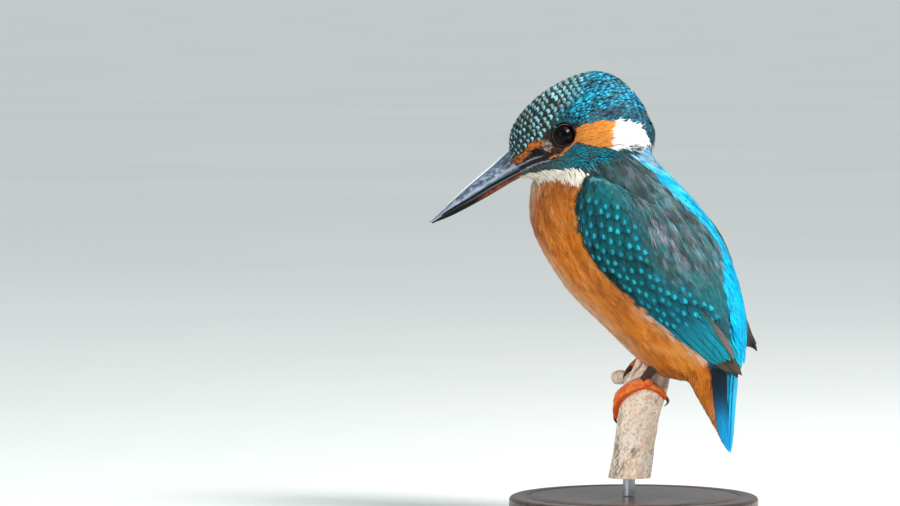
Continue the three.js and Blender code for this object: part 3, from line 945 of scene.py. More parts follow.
@dataclass(frozen=True)
class Plumage:
    """The kingfisher's pattern, read at any place on the bird.

    Head outlines are (towards the nape, up) in the head's axes, and the trunk's borders are (down
    the spine, out of the back) in the spine's.
    """

    crown_border: tuple = (
        (-24, -0.3), (-17, 1.6), (-12, 2.2), (-8.6, 3.5), (-2, 3), (1.5, 0.6), (5.3, 0.8),
        (12.2, -1.6), (18.6, -6.6), (21.6, -9.6), (24.6, -14),
    )
    deep_crown: tuple = ((3, 5), (8, 8), (15, 6), (17, 0), (12, -1), (6, 3))
    slate: tuple = ((2, 1.6), (5, 3.6), (12.5, 2.6), (16, -1), (12, -1.2), (6, 0.8))
    ear: tuple = (
        (-1.2, -0.6), (-1.4, 0.8), (1.5, 1.0), (5.3, 0.8), (12.2, -1.8), (9.3, -5.3), (7.3, -9.2),
        (3.5, -7.2), (-0.4, -4.9), (-2.0, -3.2),
    )
    collar: tuple = (
        (12.2, -1.8), (14.6, -2.8), (18.7, -6.8), (21.2, -10), (22.6, -14.8), (13.8, -12.6), (7.3, -9.2),
        (9.3, -5.3),
    )
    lore: tuple = (
        (-26, -0.3), (-20.6, -0.2), (-17.1, 1.6), (-12.4, 2.2), (-12.4, -0.5), (-14.2, -1.6),
        (-17.7, -0.9), (-21.4, -2.6), (-26, -2.6),
    )
    lore_spot: tuple = ((-17.2, -0.4), (-14.3, -0.6), (-13.8, -2.6), (-17, -3.2))
    eye_spot: tuple = ((-12.2, 1.2), (-10.9, 1.1), (-9.8, -0.9), (-11.4, -3.4), (-12.7, -2.6), (-13, -0.3))
    malar: tuple = (
        (-27, -4.8), (-14.2, -5.5), (-9, -5.7), (-5, -4.6), (-2.3, -3.3), (-0.4, -5), (3.5, -7.4),
        (7.3, -9.4), (13.8, -12.8), (10, -16.6), (1.4, -14.5), (-0.7, -14.9), (-6.6, -11.5),
        (-15.5, -7.8), (-27, -6),
    )
    stripe_edge: tuple = (
        (-4, 3.6), (8.6, 4.9), (21, 5.3), (31, 5.4), (37, 4.7), (41, 3.6), (45, 4.0), (54, 5.3), (63, 5.0),
        (68, 4.6), (76, 3.0),
    )
    stripe_cover: tuple = ((21, 0), (29, 2.2), (36, 3.6), (41, 3.0), (45, 2.2), (51, 0.5), (54, 0))
    covert_edge: tuple = (
        (-2, -8), (-0.9, 3), (-0.3, 3.8), (2.4, 7.4), (7.4, 10.3), (11.3, 12), (18, 13.6), (25, 13.2),
        (32.3, 11.2), (40.5, 9.8), (46.4, 10.7), (53, 12.6), (58, 14), (80, 18),
    )
    wing_foot: tuple = (
        (-8, -3), (-5.6, -0.3), (-1.4, 4.1), (-0.8, 3.2), (0.5, 0), (3.5, -3.9), (7.5, -6.3), (11.6, -7.7),
        (17, -9.0), (21.7, -9.2), (27.5, -8.5), (32.7, -7.0), (38.4, -5.8), (44.7, -4.3), (50.4, -2.7),
        (55.2, -1.2), (61, 0.6), (66.7, 1.9), (70.4, 3.3), (74.8, 5.4), (80, 8.2),
    )
    covert_end: tuple = (
        (-6, 49), (-2, 52), (0.5, 53.4), (3.9, 55.2), (7.1, 58.2), (10.9, 60.6), (14, 60), (22, 60)
    )
    brow: tuple = (
        (-4.5, 3.2), (-1.6, 6.4), (0.6, 8.6), (5.5, 9.8), (9, 9), (10, 5), (6, 3), (2, 2.6), (-1, 2.8)
    )
    brow_bar: tuple = ((-0.6, 6.0), (0.6, 7.9), (4, 9.2), (8.4, 9.9), (8.6, 8.0), (4, 6.6), (1, 5.2))
    collar_inside: tuple = ((-16, 1.8), (-14, 3.0), (-11, 5.6), (-7, 8.2), (-3, 9.8))
    tail_fold: tuple = ((-6, 5), (0, 7.2), (6, 6.6), (13, 4.8), (20, 2.8), (26, 1.2), (29, 0.7))
    throat_top: tuple = ((-27, -6), (-15.5, -7.8), (-6.6, -11.5), (-0.7, -14.6), (1.4, -15.0), (3.6, -15.2))
    throat_foot: tuple = (
        (-30, -11.6), (-20, -10.4), (-15, -11.8), (-11, -14), (-8, -16.4), (-3, -17), (2, -16.4),
        (3.6, -15.6),
    )
    gape: tuple = ((-26, -4.2), (-12.4, -5.0), (-9, -5.1), (-5, -4.1), (-2.3, -2.5), (-0.9, -0.9))
    gape_width: tuple = ((-24, -0.2), (-16, 0.0), (-9, 0.35), (-3, 0.6))
    bare_gape: tuple = ((-24, -4.2), (-17.7, -3.9), (-14, -4.4), (-12, -4.7))

    def wing_place(self, x: Array, out: Array, down: Array) -> tuple[Array, Array]:
        """Gives each place's (down, out) as on the left wing; the right one is held a little higher.

        Args:
            x: Places to the side.
            out: Places out of the back.
            down: Places down the spine.

        Returns:
            The places down and out along the left wing.
        """
        right = x < 0
        drawn = down + right * 6.6 * ramp(down, 20, 76)
        return drawn, out - right * 4.4 * ramp(drawn, 56, 80)

    def read(self, points: Array) -> Marks:
        """Reads the pattern.

        Args:
            points: (n, 3) places in the frame, on or near the bird.

        Returns:
            The marks at each place.
        """
        at, marks = Places(points, self), Marks.blank(len(points))
        breast, mantle = self._breast(at), self._mantle(at)
        marks.lay(slice(None), Zone.BREAST, breast)
        self._wing(at, marks)
        marks.lay(at.on_wing & (at.wing_out > at.edge), Zone.MANTLE, mantle, strength=0)
        self._rump(at, marks)
        below = self._cap(at, marks)
        self._face(at, marks, below, breast, mantle)
        self._patches(at, marks, below)
        return marks

    def _breast(self, at: Places) -> Array:
        """Colours the breast and belly: rust-orange, duller above, paler in front, with a painted highlight.

        Args:
            at: The places, with their noise.

        Returns:
            The tone at each place.
        """
        x, out, down, streak = at.x, at.out, at.down, at.streak
        upper = ramp(down, 16, -6) * ramp(out, 6, -4)
        flank = ramp(np.abs(x), 8, 16) * ramp(down, 14, 30)
        broad = at.strands(0.45, 0.1, 9)
        pale = near(x, 3, 11, 6) * ramp(down, 4, 16) * ramp(out, -12, -22) * ramp(down, 70, 56)
        # front marks a painted cream highlight down the near side of the upper chest.
        front = near(x, 7.5, 5.5, 2.5) * ramp(down, 6, -10) * ramp(out, -6, -16)
        fringe = ramp(at.wing_down, 40, 50) * ramp(at.wing_down, 74, 68)
        fringe = ramp(at.foot - at.wing_out, 4.0, 0.5) * fringe
        return layered(
            shades((224, 116, 10), (246, 154, 44), at.mottle),
            ((196, 104, 40), 0.75 * upper),
            ((240, 180, 118), 0.6 * upper * ramp(streak, 0.55, 0.8)),
            ((92, 70, 56), 0.6 * upper * ramp(streak, 0.4, 0.2) * (0.3 + 0.7 * ramp(x, 7, 13))),
            ((232, 150, 66), 0.5 * flank),
            ((164, 78, 14), 0.6 * ramp(streak, 0.42, 0.2) * (1 - upper)),
            ((240, 176, 98), 0.5 * ramp(streak, 0.58, 0.8) * (1 - upper)),
            ((244, 168, 84), 0.55 * ramp(broad, 0.55, 0.8) * (1 - upper)),
            ((170, 88, 24), 0.5 * ramp(broad, 0.42, 0.2)),
            ((248, 214, 172), 0.9 * pale * (0.3 + 0.7 * streak)),
            # The painted highlight down the near side of the chest.
            ((250, 222, 186), 0.85 * front * (0.3 + 0.7 * streak)),
            ((240, 222, 204), 0.85 * fringe * ramp(streak, 0.25, 0.6)),
        )

    def _mantle(self, at: Places) -> Array:
        """Colours the mantle: grey and teal strands with silver ones on the shoulder blade.

        Args:
            at: The places, with their noise.

        Returns:
            The tone at each place.
        """
        down, out, streak = at.wing_down, at.wing_out, at.streak
        hairline = at.strands(3.2, 0.4, 11)
        silver = near(out, 13.5, 3.4, 0.8) * near(down, 28, 14, 6)
        return layered(
            shades((46, 68, 70), (78, 104, 106), at.mottle),
            ((0, 128, 138), 0.85 * ramp(streak, 0.38, 0.58) * ramp(at.mottle, 0.3, 0.65)),
            ((16, 30, 30), 0.55 * ramp(hairline, 0.42, 0.26)),
            ((120, 150, 156), 0.45 * ramp(hairline, 0.62, 0.78)),
            ((158, 152, 168), np.clip(0.45 + 0.6 * silver, 0, 1) * ramp(streak, 0.56, 0.8)),
            ((30, 38, 36), 0.7 * ramp(streak, 0.36, 0.16)),
            ((52, 66, 66), 0.7 * ramp(down, 12, 2)),
            # Painted shadow along the wing's top edge, on the mantle side near the shoulder.
            ((14, 22, 20), 0.7 * ramp(out - at.edge, 2.0, 0.3) * ramp(down, 14, 10)),
            ((0, 112, 122), 0.8 * ramp(down + 0.5 * (14 - out), 40, 54)),
        )

    def _wing(self, at: Places, marks: Marks) -> None:
        """Lays the spotted coverts, and the soft plain ones above them.

        Args:
            at: The places, with their noise.
            marks: The marks to lay them on.
        """
        down, out, fine = at.wing_down, at.wing_out, at.fine
        shoulder, inwards = ramp(down, 12, 1), at.edge - out
        by_mantle = ramp(inwards, 6.5, 0.5)
        covert = layered(
            shades((0, 76, 82), (0, 108, 116), at.mottle),
            ((18, 84, 88), 0.7 * shoulder),
            ((66, 150, 160), 0.6 * shoulder * ramp(fine, 0.5, 0.85)),
            ((70, 92, 94), 0.6 * by_mantle * ramp(down, 6, 16)),
            ((20, 150, 170), 0.6 * by_mantle * ramp(at.streak, 0.55, 0.85)),
            # Painted highlight along the wing's top edge at the shoulder.
            ((120, 176, 186), 0.5 * ramp(inwards, 1.6, 0.4) * shoulder),
            ((0, 104, 124), 0.7 * ramp(down, 38, 50)),
            # Painted shadow along the wing's lower edge, where it lies over the breast.
            ((0, 44, 44), 0.7 * ramp(out - at.foot, 3.4, 0.8) * ramp(down, 44, 36)),
        )
        spots = shades((0, 186, 226), (40, 226, 246), 0.8 * fine)
        spotted = ramp(down, 4, 8) * ramp(out - at.foot, 0.8, 2.0)
        marks.lay(at.on_wing, Zone.COVERT, covert, spots, spotted * (0.5 + 0.5 * ramp(fine, 0.3, 0.6)))
        soft = (down < 4) | ((inwards < 3.4) & (down < 46)) | ((down < 11) & (inwards < 5))
        marks.zone[at.on_wing & soft] = Zone.LESSER

    def _rump(self, at: Places, marks: Marks) -> None:
        """Lays the flight feathers, the bright stripe of the back, the vent and the tail.

        Args:
            at: The places, with their noise.
            marks: The marks to lay them on.
        """
        x, down, streak = at.x, at.down, at.streak
        behind, height = at.points[:, 1], at.points[:, 2]
        flight = shades((0, 84, 98), (58, 50, 44), ramp(at.wing_down, 66, 72))
        on_flight = at.on_wing & (at.wing_down > curve(*self.covert_end)(at.wing_out))
        marks.lay(on_flight, Zone.FLIGHT, flight, strength=0)

        stripe = curve(*self.stripe_edge)(down) - (x > 0) * curve(*self.stripe_cover)(down)
        on_back = ~at.on_head & (np.abs(x) < stripe) & (at.out > 4) & (down < 90)
        back = layered(
            shades((0, 204, 246), (96, 232, 248), ramp(streak, 0.45, 0.75) * ramp(down, 40, 14)),
            ((0, 124, 190), 0.75 * ramp(streak, 0.45, 0.2)),
            ((96, 116, 138), 0.6 * ramp(stripe - np.abs(x), 0.7, 0.0) * ramp(down, 50, 30)),
            ((170, 172, 186), 0.85 * ramp(down + 1.6 * np.abs(x), 13, 7) * ramp(streak, 0.2, 0.6)),
        )
        marks.lay(on_back, Zone.BACK, back, strength=0)

        # The vent hangs in front of the folded tail.
        tips = (at.wing_down > 66) & (at.wing_out > at.foot - 1) & (height < 66) & (np.abs(x) > 4)
        marks.lay(tips & ~on_back, Zone.FLIGHT, flight)
        vent = layered(
            shades((206, 106, 16), (226, 136, 40), at.mottle),
            ((146, 72, 20), 0.7 * ramp(at.mottle, 0.6, 0.35) * ramp(height, 38, 46)),
            ((222, 168, 118), 0.5 * ramp(height, 42, 34) * ramp(streak, 0.3, 0.6)),
        )
        on_vent = (height < 52) & (behind > 12) & (np.abs(x) < 7.5) & ~on_back & ~at.on_wing & ~tips
        marks.lay(on_vent, Zone.VENT, vent)
        _, out, along = TAIL.local(at.points).T
        on_tail = (out > 0.4 - curve(*self.tail_fold)(-along)) & (along < 1.5) & (height < 53) & ~tips
        on_tail |= (along < -23.5) & (behind > 24)
        marks.lay(on_tail, Zone.TAIL, linear(0, 64, 96), strength=0)

    def _cap(self, at: Places, marks: Marks) -> Array:
        """Lays the barred crown, the flecked crest, the brow and the nape.

        Args:
            at: The places.
            marks: The marks to lay them on.

        Returns:
            Which places lie on the head below them.
        """
        rear, rise, fine, mottle, face = at.rear, at.rise, at.fine, at.mottle, at.face
        reach = np.linalg.norm(HEAD.local(at.points) - BILL_BASE, axis=1)
        border = curve(*self.crown_border)(rear)
        on_crown = at.on_head & (rise > border)
        back = reach - 0.8 * (rise - 2) + 4 * (mottle - 0.5)
        to_nape = ramp(back, 20, 29)
        deep = ramp(depth_in(face, self.deep_crown), -1, 1.5)
        slate = ramp(depth_in(face, self.slate), -0.2, 0.8)
        brow = ramp(rise - border, 7.5, 2.5) * near(rear, 1, 9, 3)
        crown = layered(
            shades((66, 54, 46), (26, 66, 74), ramp(fine, 0.35, 0.65)),
            ((0, 112, 150), to_nape * (0.5 + 0.5 * ramp(mottle, 0.4, 0.6))),
            ((0, 76, 128), 0.7 * deep),
            ((0, 128, 146), 0.6 * brow),
            ((84, 92, 112), 0.8 * slate),
            ((60, 78, 92), 0.5 * ramp(rear, 13, 18) * ramp(fine, 0.4, 0.7)),
        )
        bars = shades((176, 244, 248), (90, 228, 252), to_nape)
        bars = layered(bars, ((0, 146, 206), 0.6 * deep), ((0, 178, 206), 0.8 * brow))
        barred = (1 - 0.75 * slate) * ramp(reach, 1, 4) * (0.6 + 0.4 * ramp(fine, 0.3, 0.6))
        marks.lay(on_crown, Zone.CROWN, crown, bars, barred)

        to_collar = depth_in(face, self.collar)
        lower = ramp(to_collar, -7, -2)
        crest = layered(
            shades((38, 66, 74), (0, 112, 156), ramp(fine, 0.3, 0.65) * (0.3 + 0.55 * to_nape)),
            ((84, 92, 112), 0.8 * slate),
            ((28, 64, 84), 0.7 * lower),
        )
        flecks = shades((60, 206, 222), (60, 216, 250), to_nape)
        flecked = (1 - 0.8 * slate) * (1 - 0.6 * lower) * (0.45 + 0.55 * ramp(fine, 0.35, 0.6))
        crested = on_crown & ((back > 26.5) | (depth_in(face, self.brow) > 0))
        marks.lay(crested, Zone.CREST, crest, flecks, flecked)

        lit = shades((0, 138, 184), (50, 212, 240), ramp(fine, 0.4, 0.65))
        ragged = 0.4 + 1.6 * ramp(cloud(at.points, 0.8, 24), 0.3, 0.7)
        in_brow = on_crown & (depth_in(face, self.brow_bar) > ragged)
        marks.lay(in_brow, Zone.BROW, layered(lit, ((16, 86, 100), 0.85 * ramp(fine, 0.42, 0.3))))
        nape = layered(
            shades((0, 84, 128), (0, 160, 212), ramp(at.streak, 0.4, 0.7)),
            ((34, 66, 76), 0.8 * ramp(fine, 0.5, 0.34)),
            ((26, 62, 74), 0.8 * ramp(to_collar, -6, -1.5)),
        )
        inside = np.abs(at.side) < curve(*self.collar_inside)(rise)
        on_nape = at.on_head & (rear > 12.5) & (on_crown | inside) & (reach > 44.5 + 5 * (mottle - 0.5))
        marks.lay(on_nape, Zone.NAPE, nape)
        return at.on_head & ~on_crown & ~on_nape

    def _face(self, at: Places, marks: Marks, below: Array, breast: Array, mantle: Array) -> None:
        """Lays the dusky face, the throat and the malar band, and the trunk's tones under them.

        Args:
            at: The places.
            marks: The marks to lay them on.
            below: Which places lie below the crown.
            breast: The breast's tone.
            mantle: The mantle's tone.
        """
        rear, rise, fine = at.rear, at.rise, at.fine
        marks.lay(below, Zone.FACE, shades((38, 34, 34), (104, 66, 46), 0.5 * ramp(fine, 0.4, 0.8)))
        low = below & ((rise < -15.5) | ((rise < -10) & (rear > 3)))
        marks.lay(low, Zone.BREAST, breast)
        marks.lay(low & (rear > -3.5) & ((rise > -15.5) | (rear > 7)), Zone.MANTLE, mantle)
        on_throat = (rise < curve(*self.throat_top)(rear)) & (rise > curve(*self.throat_foot)(rear))
        on_throat &= (rear < 3.6) & (rear > -30) & ~at.on_wing & (rise > -24)
        throat = shades((248, 240, 226), (208, 164, 104), ramp(rear, -3, 3) * 0.8)
        marks.lay(on_throat, Zone.THROAT, throat, strength=0)
        malar = layered(
            shades((24, 60, 66), (0, 108, 122), ramp(at.streak, 0.35, 0.65)),
            ((62, 60, 58), 0.8 * ramp(rear, -7, -15)),
            ((58, 74, 80), 0.7 * ramp(rear, 4, 10)),
        )
        lit = shades((86, 120, 122), (0, 186, 214), ramp(rear, -12, -4) * ramp(fine, 0.3, 0.55))
        on_malar = below & (depth_in(at.face, self.malar) > 0)
        marks.lay(on_malar, Zone.MALAR, malar, lit, 0.9 - 0.5 * ramp(rear, 2, 9))

    def _patches(self, at: Places, marks: Marks, below: Array) -> None:
        """Lays the small patches of the face.

        Args:
            at: The places.
            marks: The marks to lay them on.
            below: Which places lie below the crown.
        """
        rear, points = at.rear, at.points
        rust = shades((232, 140, 70), (120, 62, 36), ramp(at.fine, 0.6, 0.9))
        in_line = np.abs(at.rise - curve(*self.gape)(rear)) < curve(*self.gape_width)(rear)
        marks.lay(below & (rear < -0.5) & in_line, Zone.FACE, rust)
        hairs = 0.8 * ramp(cloud(HEAD.local(points) * (1, 0.5, 1.4), 0.7, 22), 0.35, 0.65)
        ear = shades((238, 154, 68), (226, 134, 52), ramp(cloud(points, 1.3, 21), 0.4, 0.8))
        for where, outline, zone, tone in (
            (below, self.ear, Zone.EAR, ear),
            (below, self.collar, Zone.COLLAR, linear(253, 252, 250)),
            (at.on_head, self.lore, Zone.FACE, shades((222, 122, 44), (46, 32, 28), hairs)),
            (at.on_head, self.lore_spot, Zone.FACE, linear(16, 13, 13)),
            (at.on_head, self.eye_spot, Zone.FACE, shades((196, 168, 152), (60, 46, 42), hairs)),
        ):
            marks.lay(where & (depth_in(at.face, outline) > 0), zone, tone)
        _, back, up = HEAD.local(points).T
        gap = up - curve(*self.bare_gape)(back)
        rim = layered(
            linear(26, 22, 24),
            ((128, 126, 144), near(gap, 0.95, 0.4, 0.12) * ramp(back, -13.5, -17)),
            ((132, 128, 148), near(gap, -0.9, 0.4, 0.12) * ramp(back, -12, -13.5)),
        )
        marks.lay(at.on_head & (back < -12.4) & (np.abs(gap) < 1.5), Zone.GAPE, rim)


# ---------------------------------------------------------------- the skin


@dataclass
class Skin:
    """One seamless skin inside the coat, grown from the flesh nodes of the frame."""

    plumage: Plumage
    nodes: tuple[str, ...] = (
        "head", "neck", "trunk", "wing_left", "wing_right", "primaries_left", "primaries_right", "tail",
        "undertail_coverts",
    )
    bridge: float = 0.35
    grain: float = 0.62
    smoothing: int = 6
    body_depth: float = 0.85
    head_depth: float = 0.5
    thin_depth: float = 0.2
    points: Array = field(default_factory=lambda: np.zeros((0, 3)))
    quads: Array = field(default_factory=lambda: np.zeros((0, 4), int))
    tree: BVHTree | None = None

    def build(self) -> bpy.types.Object:
        """Grows the skin.

        Returns:
            The skin's object, painted but not yet dressed.
        """
        block = bmesh.new()
        for name in self.nodes:
            part = bmesh.new()
            part.from_mesh(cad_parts[name].data)
            bmesh.ops.remove_doubles(part, verts=part.verts, dist=1e-6)
            bmesh.ops.recalc_face_normals(part, faces=part.faces)
            for corner in part.verts:
                corner.co += corner.normal * self.bridge * MM
            mesh = bpy.data.meshes.new("grown")
            part.to_mesh(mesh)
            block.from_mesh(mesh)
            part.free()
            bpy.data.meshes.remove(mesh)
        mesh = bpy.data.meshes.new("block")
        block.to_mesh(mesh)
        block.free()
        piece = linked("block", mesh)
        remesh = piece.modifiers.new("one skin", "REMESH")
        remesh.mode, remesh.voxel_size = "VOXEL", self.grain * MM
        found = bpy.data.meshes.new_from_object(piece.evaluated_get(bpy.context.evaluated_depsgraph_get()))
        self._take(found)
        bpy.data.objects.remove(piece)
        return self._finish()

    def _take(self, mesh: bpy.types.Mesh) -> None:
        """Keeps the largest shell of a mesh of quads, as arrays in millimetres.

        Args:
            mesh: The mesh.
        """
        points = np.zeros(len(mesh.vertices) * 3, np.float32)
        mesh.vertices.foreach_get("co", points)
        quads = np.zeros(len(mesh.loops), np.int32)
        mesh.loops.foreach_get("vertex_index", quads)
        points, quads = points.reshape(-1, 3) / MM, quads.reshape(-1, 4)
        label = np.arange(len(points))
        while True:
            low = label[quads].min(1)
            before = label.copy()
            for i in range(4):
                np.minimum.at(label, quads[:, i], low)
            label = label[label]
            if np.array_equal(label, before):
                break
        main = np.bincount(label).argmax()
        keep = label == main
        number = np.cumsum(keep) - 1
        self.points = points[keep].astype(float)
        self.quads = number[quads[keep[quads[:, 0]]]]

    def normals(self) -> Array:
        """Gives the skin's normal at each point.

        Returns:
            The unit normals.
        """
        total = np.zeros_like(self.points)
        for i in range(4):
            np.add.at(total, self.quads[:, i], self._flats())
        return unit(total)

    def _flats(self) -> Array:
        """Gives each face's normal, as long as twice its area."""
        corners = self.points[self.quads]
        return np.cross(corners[:, 2] - corners[:, 0], corners[:, 3] - corners[:, 1])

    def _smooth(self, values: Array, rounds: int) -> Array:
        """Evens out values over the skin.

        Args:
            values: (n, m) values at the skin's points.
            rounds: How often they are evened out.

        Returns:
            The evened values.
        """
        edges = np.concatenate([self.quads[:, [i, (i + 1) % 4]] for i in range(4)])
        edges = np.concatenate([edges, edges[:, ::-1]])
        count = np.bincount(edges[:, 0], minlength=len(self.points))[:, None]
        for _ in range(rounds):
            sums = [np.bincount(edges[:, 0], column[edges[:, 1]], len(self.points)) for column in values.T]
            total = np.column_stack(sums)
            values = values * 0.5 + total / count * 0.5
        return values

    def _finish(self) -> bpy.types.Object:
        """Smooths the shell, draws it in by the coat's depth and paints it.

        Returns:
            The skin's object.
        """
        self.points = self._smooth(self.points, self.smoothing)
        normals = self.normals()
        shell = BVHTree.FromPolygons(self.points.tolist(), self.quads.tolist())
        depth = np.full((len(self.points), 1), self.body_depth)
        depth[HEAD.local(self.points)[:, 2] > -12] = self.head_depth
        for i, (place, normal) in enumerate(zip(self.points, normals)):
            hit = shell.ray_cast(Vector(place - normal * 0.05), Vector(-normal), 8.0)
            if hit[0] is not None:
                depth[i] = min(depth[i, 0], max(self.thin_depth, 0.22 * hit[3]))
        depth = self._smooth(depth, 6)
        self.points = self.points - normals * (self.bridge + depth)
        tail = TAIL.local(self.points)
        middle = -0.55 * curve(*self.plumage.tail_fold)(-tail[:, 2])
        thin = ramp(-tail[:, 2], 1, 7) * ramp(tail[:, 1], 2.2 * middle, 1.4 * middle)
        tail[:, 0] *= 1 - 0.4 * thin
        tail[:, 1] = middle + (tail[:, 1] - middle) * (1 - 0.5 * thin)
        tail[:, 2] += 2.5 * ramp(-tail[:, 2], 20, 28)
        moved = ((thin > 0) & (self.points[:, 1] > 20))[:, None]
        self.points = np.where(moved, TAIL.world(tail), self.points)
        self.tree = BVHTree.FromPolygons(self.points.tolist(), self.quads.tolist())
        piece = quad_piece("skin", self.points, self.quads)
        paint(piece, "tone", with_alpha(self.plumage.read(self.points).tone, 1.0))
        return piece

    def scatter(self, count: int, random: np.random.Generator) -> tuple[Array, Array]:
        """Picks evenly spread random places on the skin.

        Args:
            count: How many.
            random: The source of chance.

        Returns:
            The places and the skin's normals there.
        """
        area = np.linalg.norm(self._flats(), axis=1)
        chosen = random.choice(len(area), count, p=area / area.sum())
        share = random.random((count, 2, 1))
        corners = self.points[self.quads[chosen]]
        low = corners[:, 0] * (1 - share[:, 0]) + corners[:, 1] * share[:, 0]
        high = corners[:, 3] * (1 - share[:, 0]) + corners[:, 2] * share[:, 0]
        normals = self.normals()[self.quads[chosen]].mean(1)
        return low * (1 - share[:, 1]) + high * share[:, 1], unit(normals)


# ---------------------------------------------------------------- the coat


@dataclass(frozen=True)
class Cut:
    """The size and lie of one kind of feather, in millimetres.

    A tuft of more than one blade spreads its blades by splay, and blades are width wide. A web
    above 0 sets the blades side by side in one vane of that width. Lift is how far the tip stands
    off the skin and base how far the root does. Whim is how far the marks vary in strength.
    """

    length: float
    width: float
    blades: int = 1
    splay: float = 0.0
    rows: int = 5
    columns: int = 2
    base: float = 0.15
    lift: float = 0.8
    camber: float = 0.12
    blunt: float = 0.5
    uneven: float = 0.15
    sway: float = 0.12
    shade: float = 0.12
    web: float = 0.0
    whim: float = 0.1


@dataclass(frozen=True)
class Tract:
    """One coat piece: the zones it covers, its feathers and how closely they are set.

    Rows above 0 sets the feathers in staggered rows that far apart, spacing apart in each; at 0
    they are scattered at least spacing apart. Side keeps one side of the bird: 1 left, -1 right.
    """

    name: str
    zones: tuple[Zone, ...]
    cut: Cut
    spacing: float
    finish: FeatherFinish
    slot: str
    rows: float = 0.0
    side: int = 0
    band: tuple[float, float] = (-200.0, 200.0)


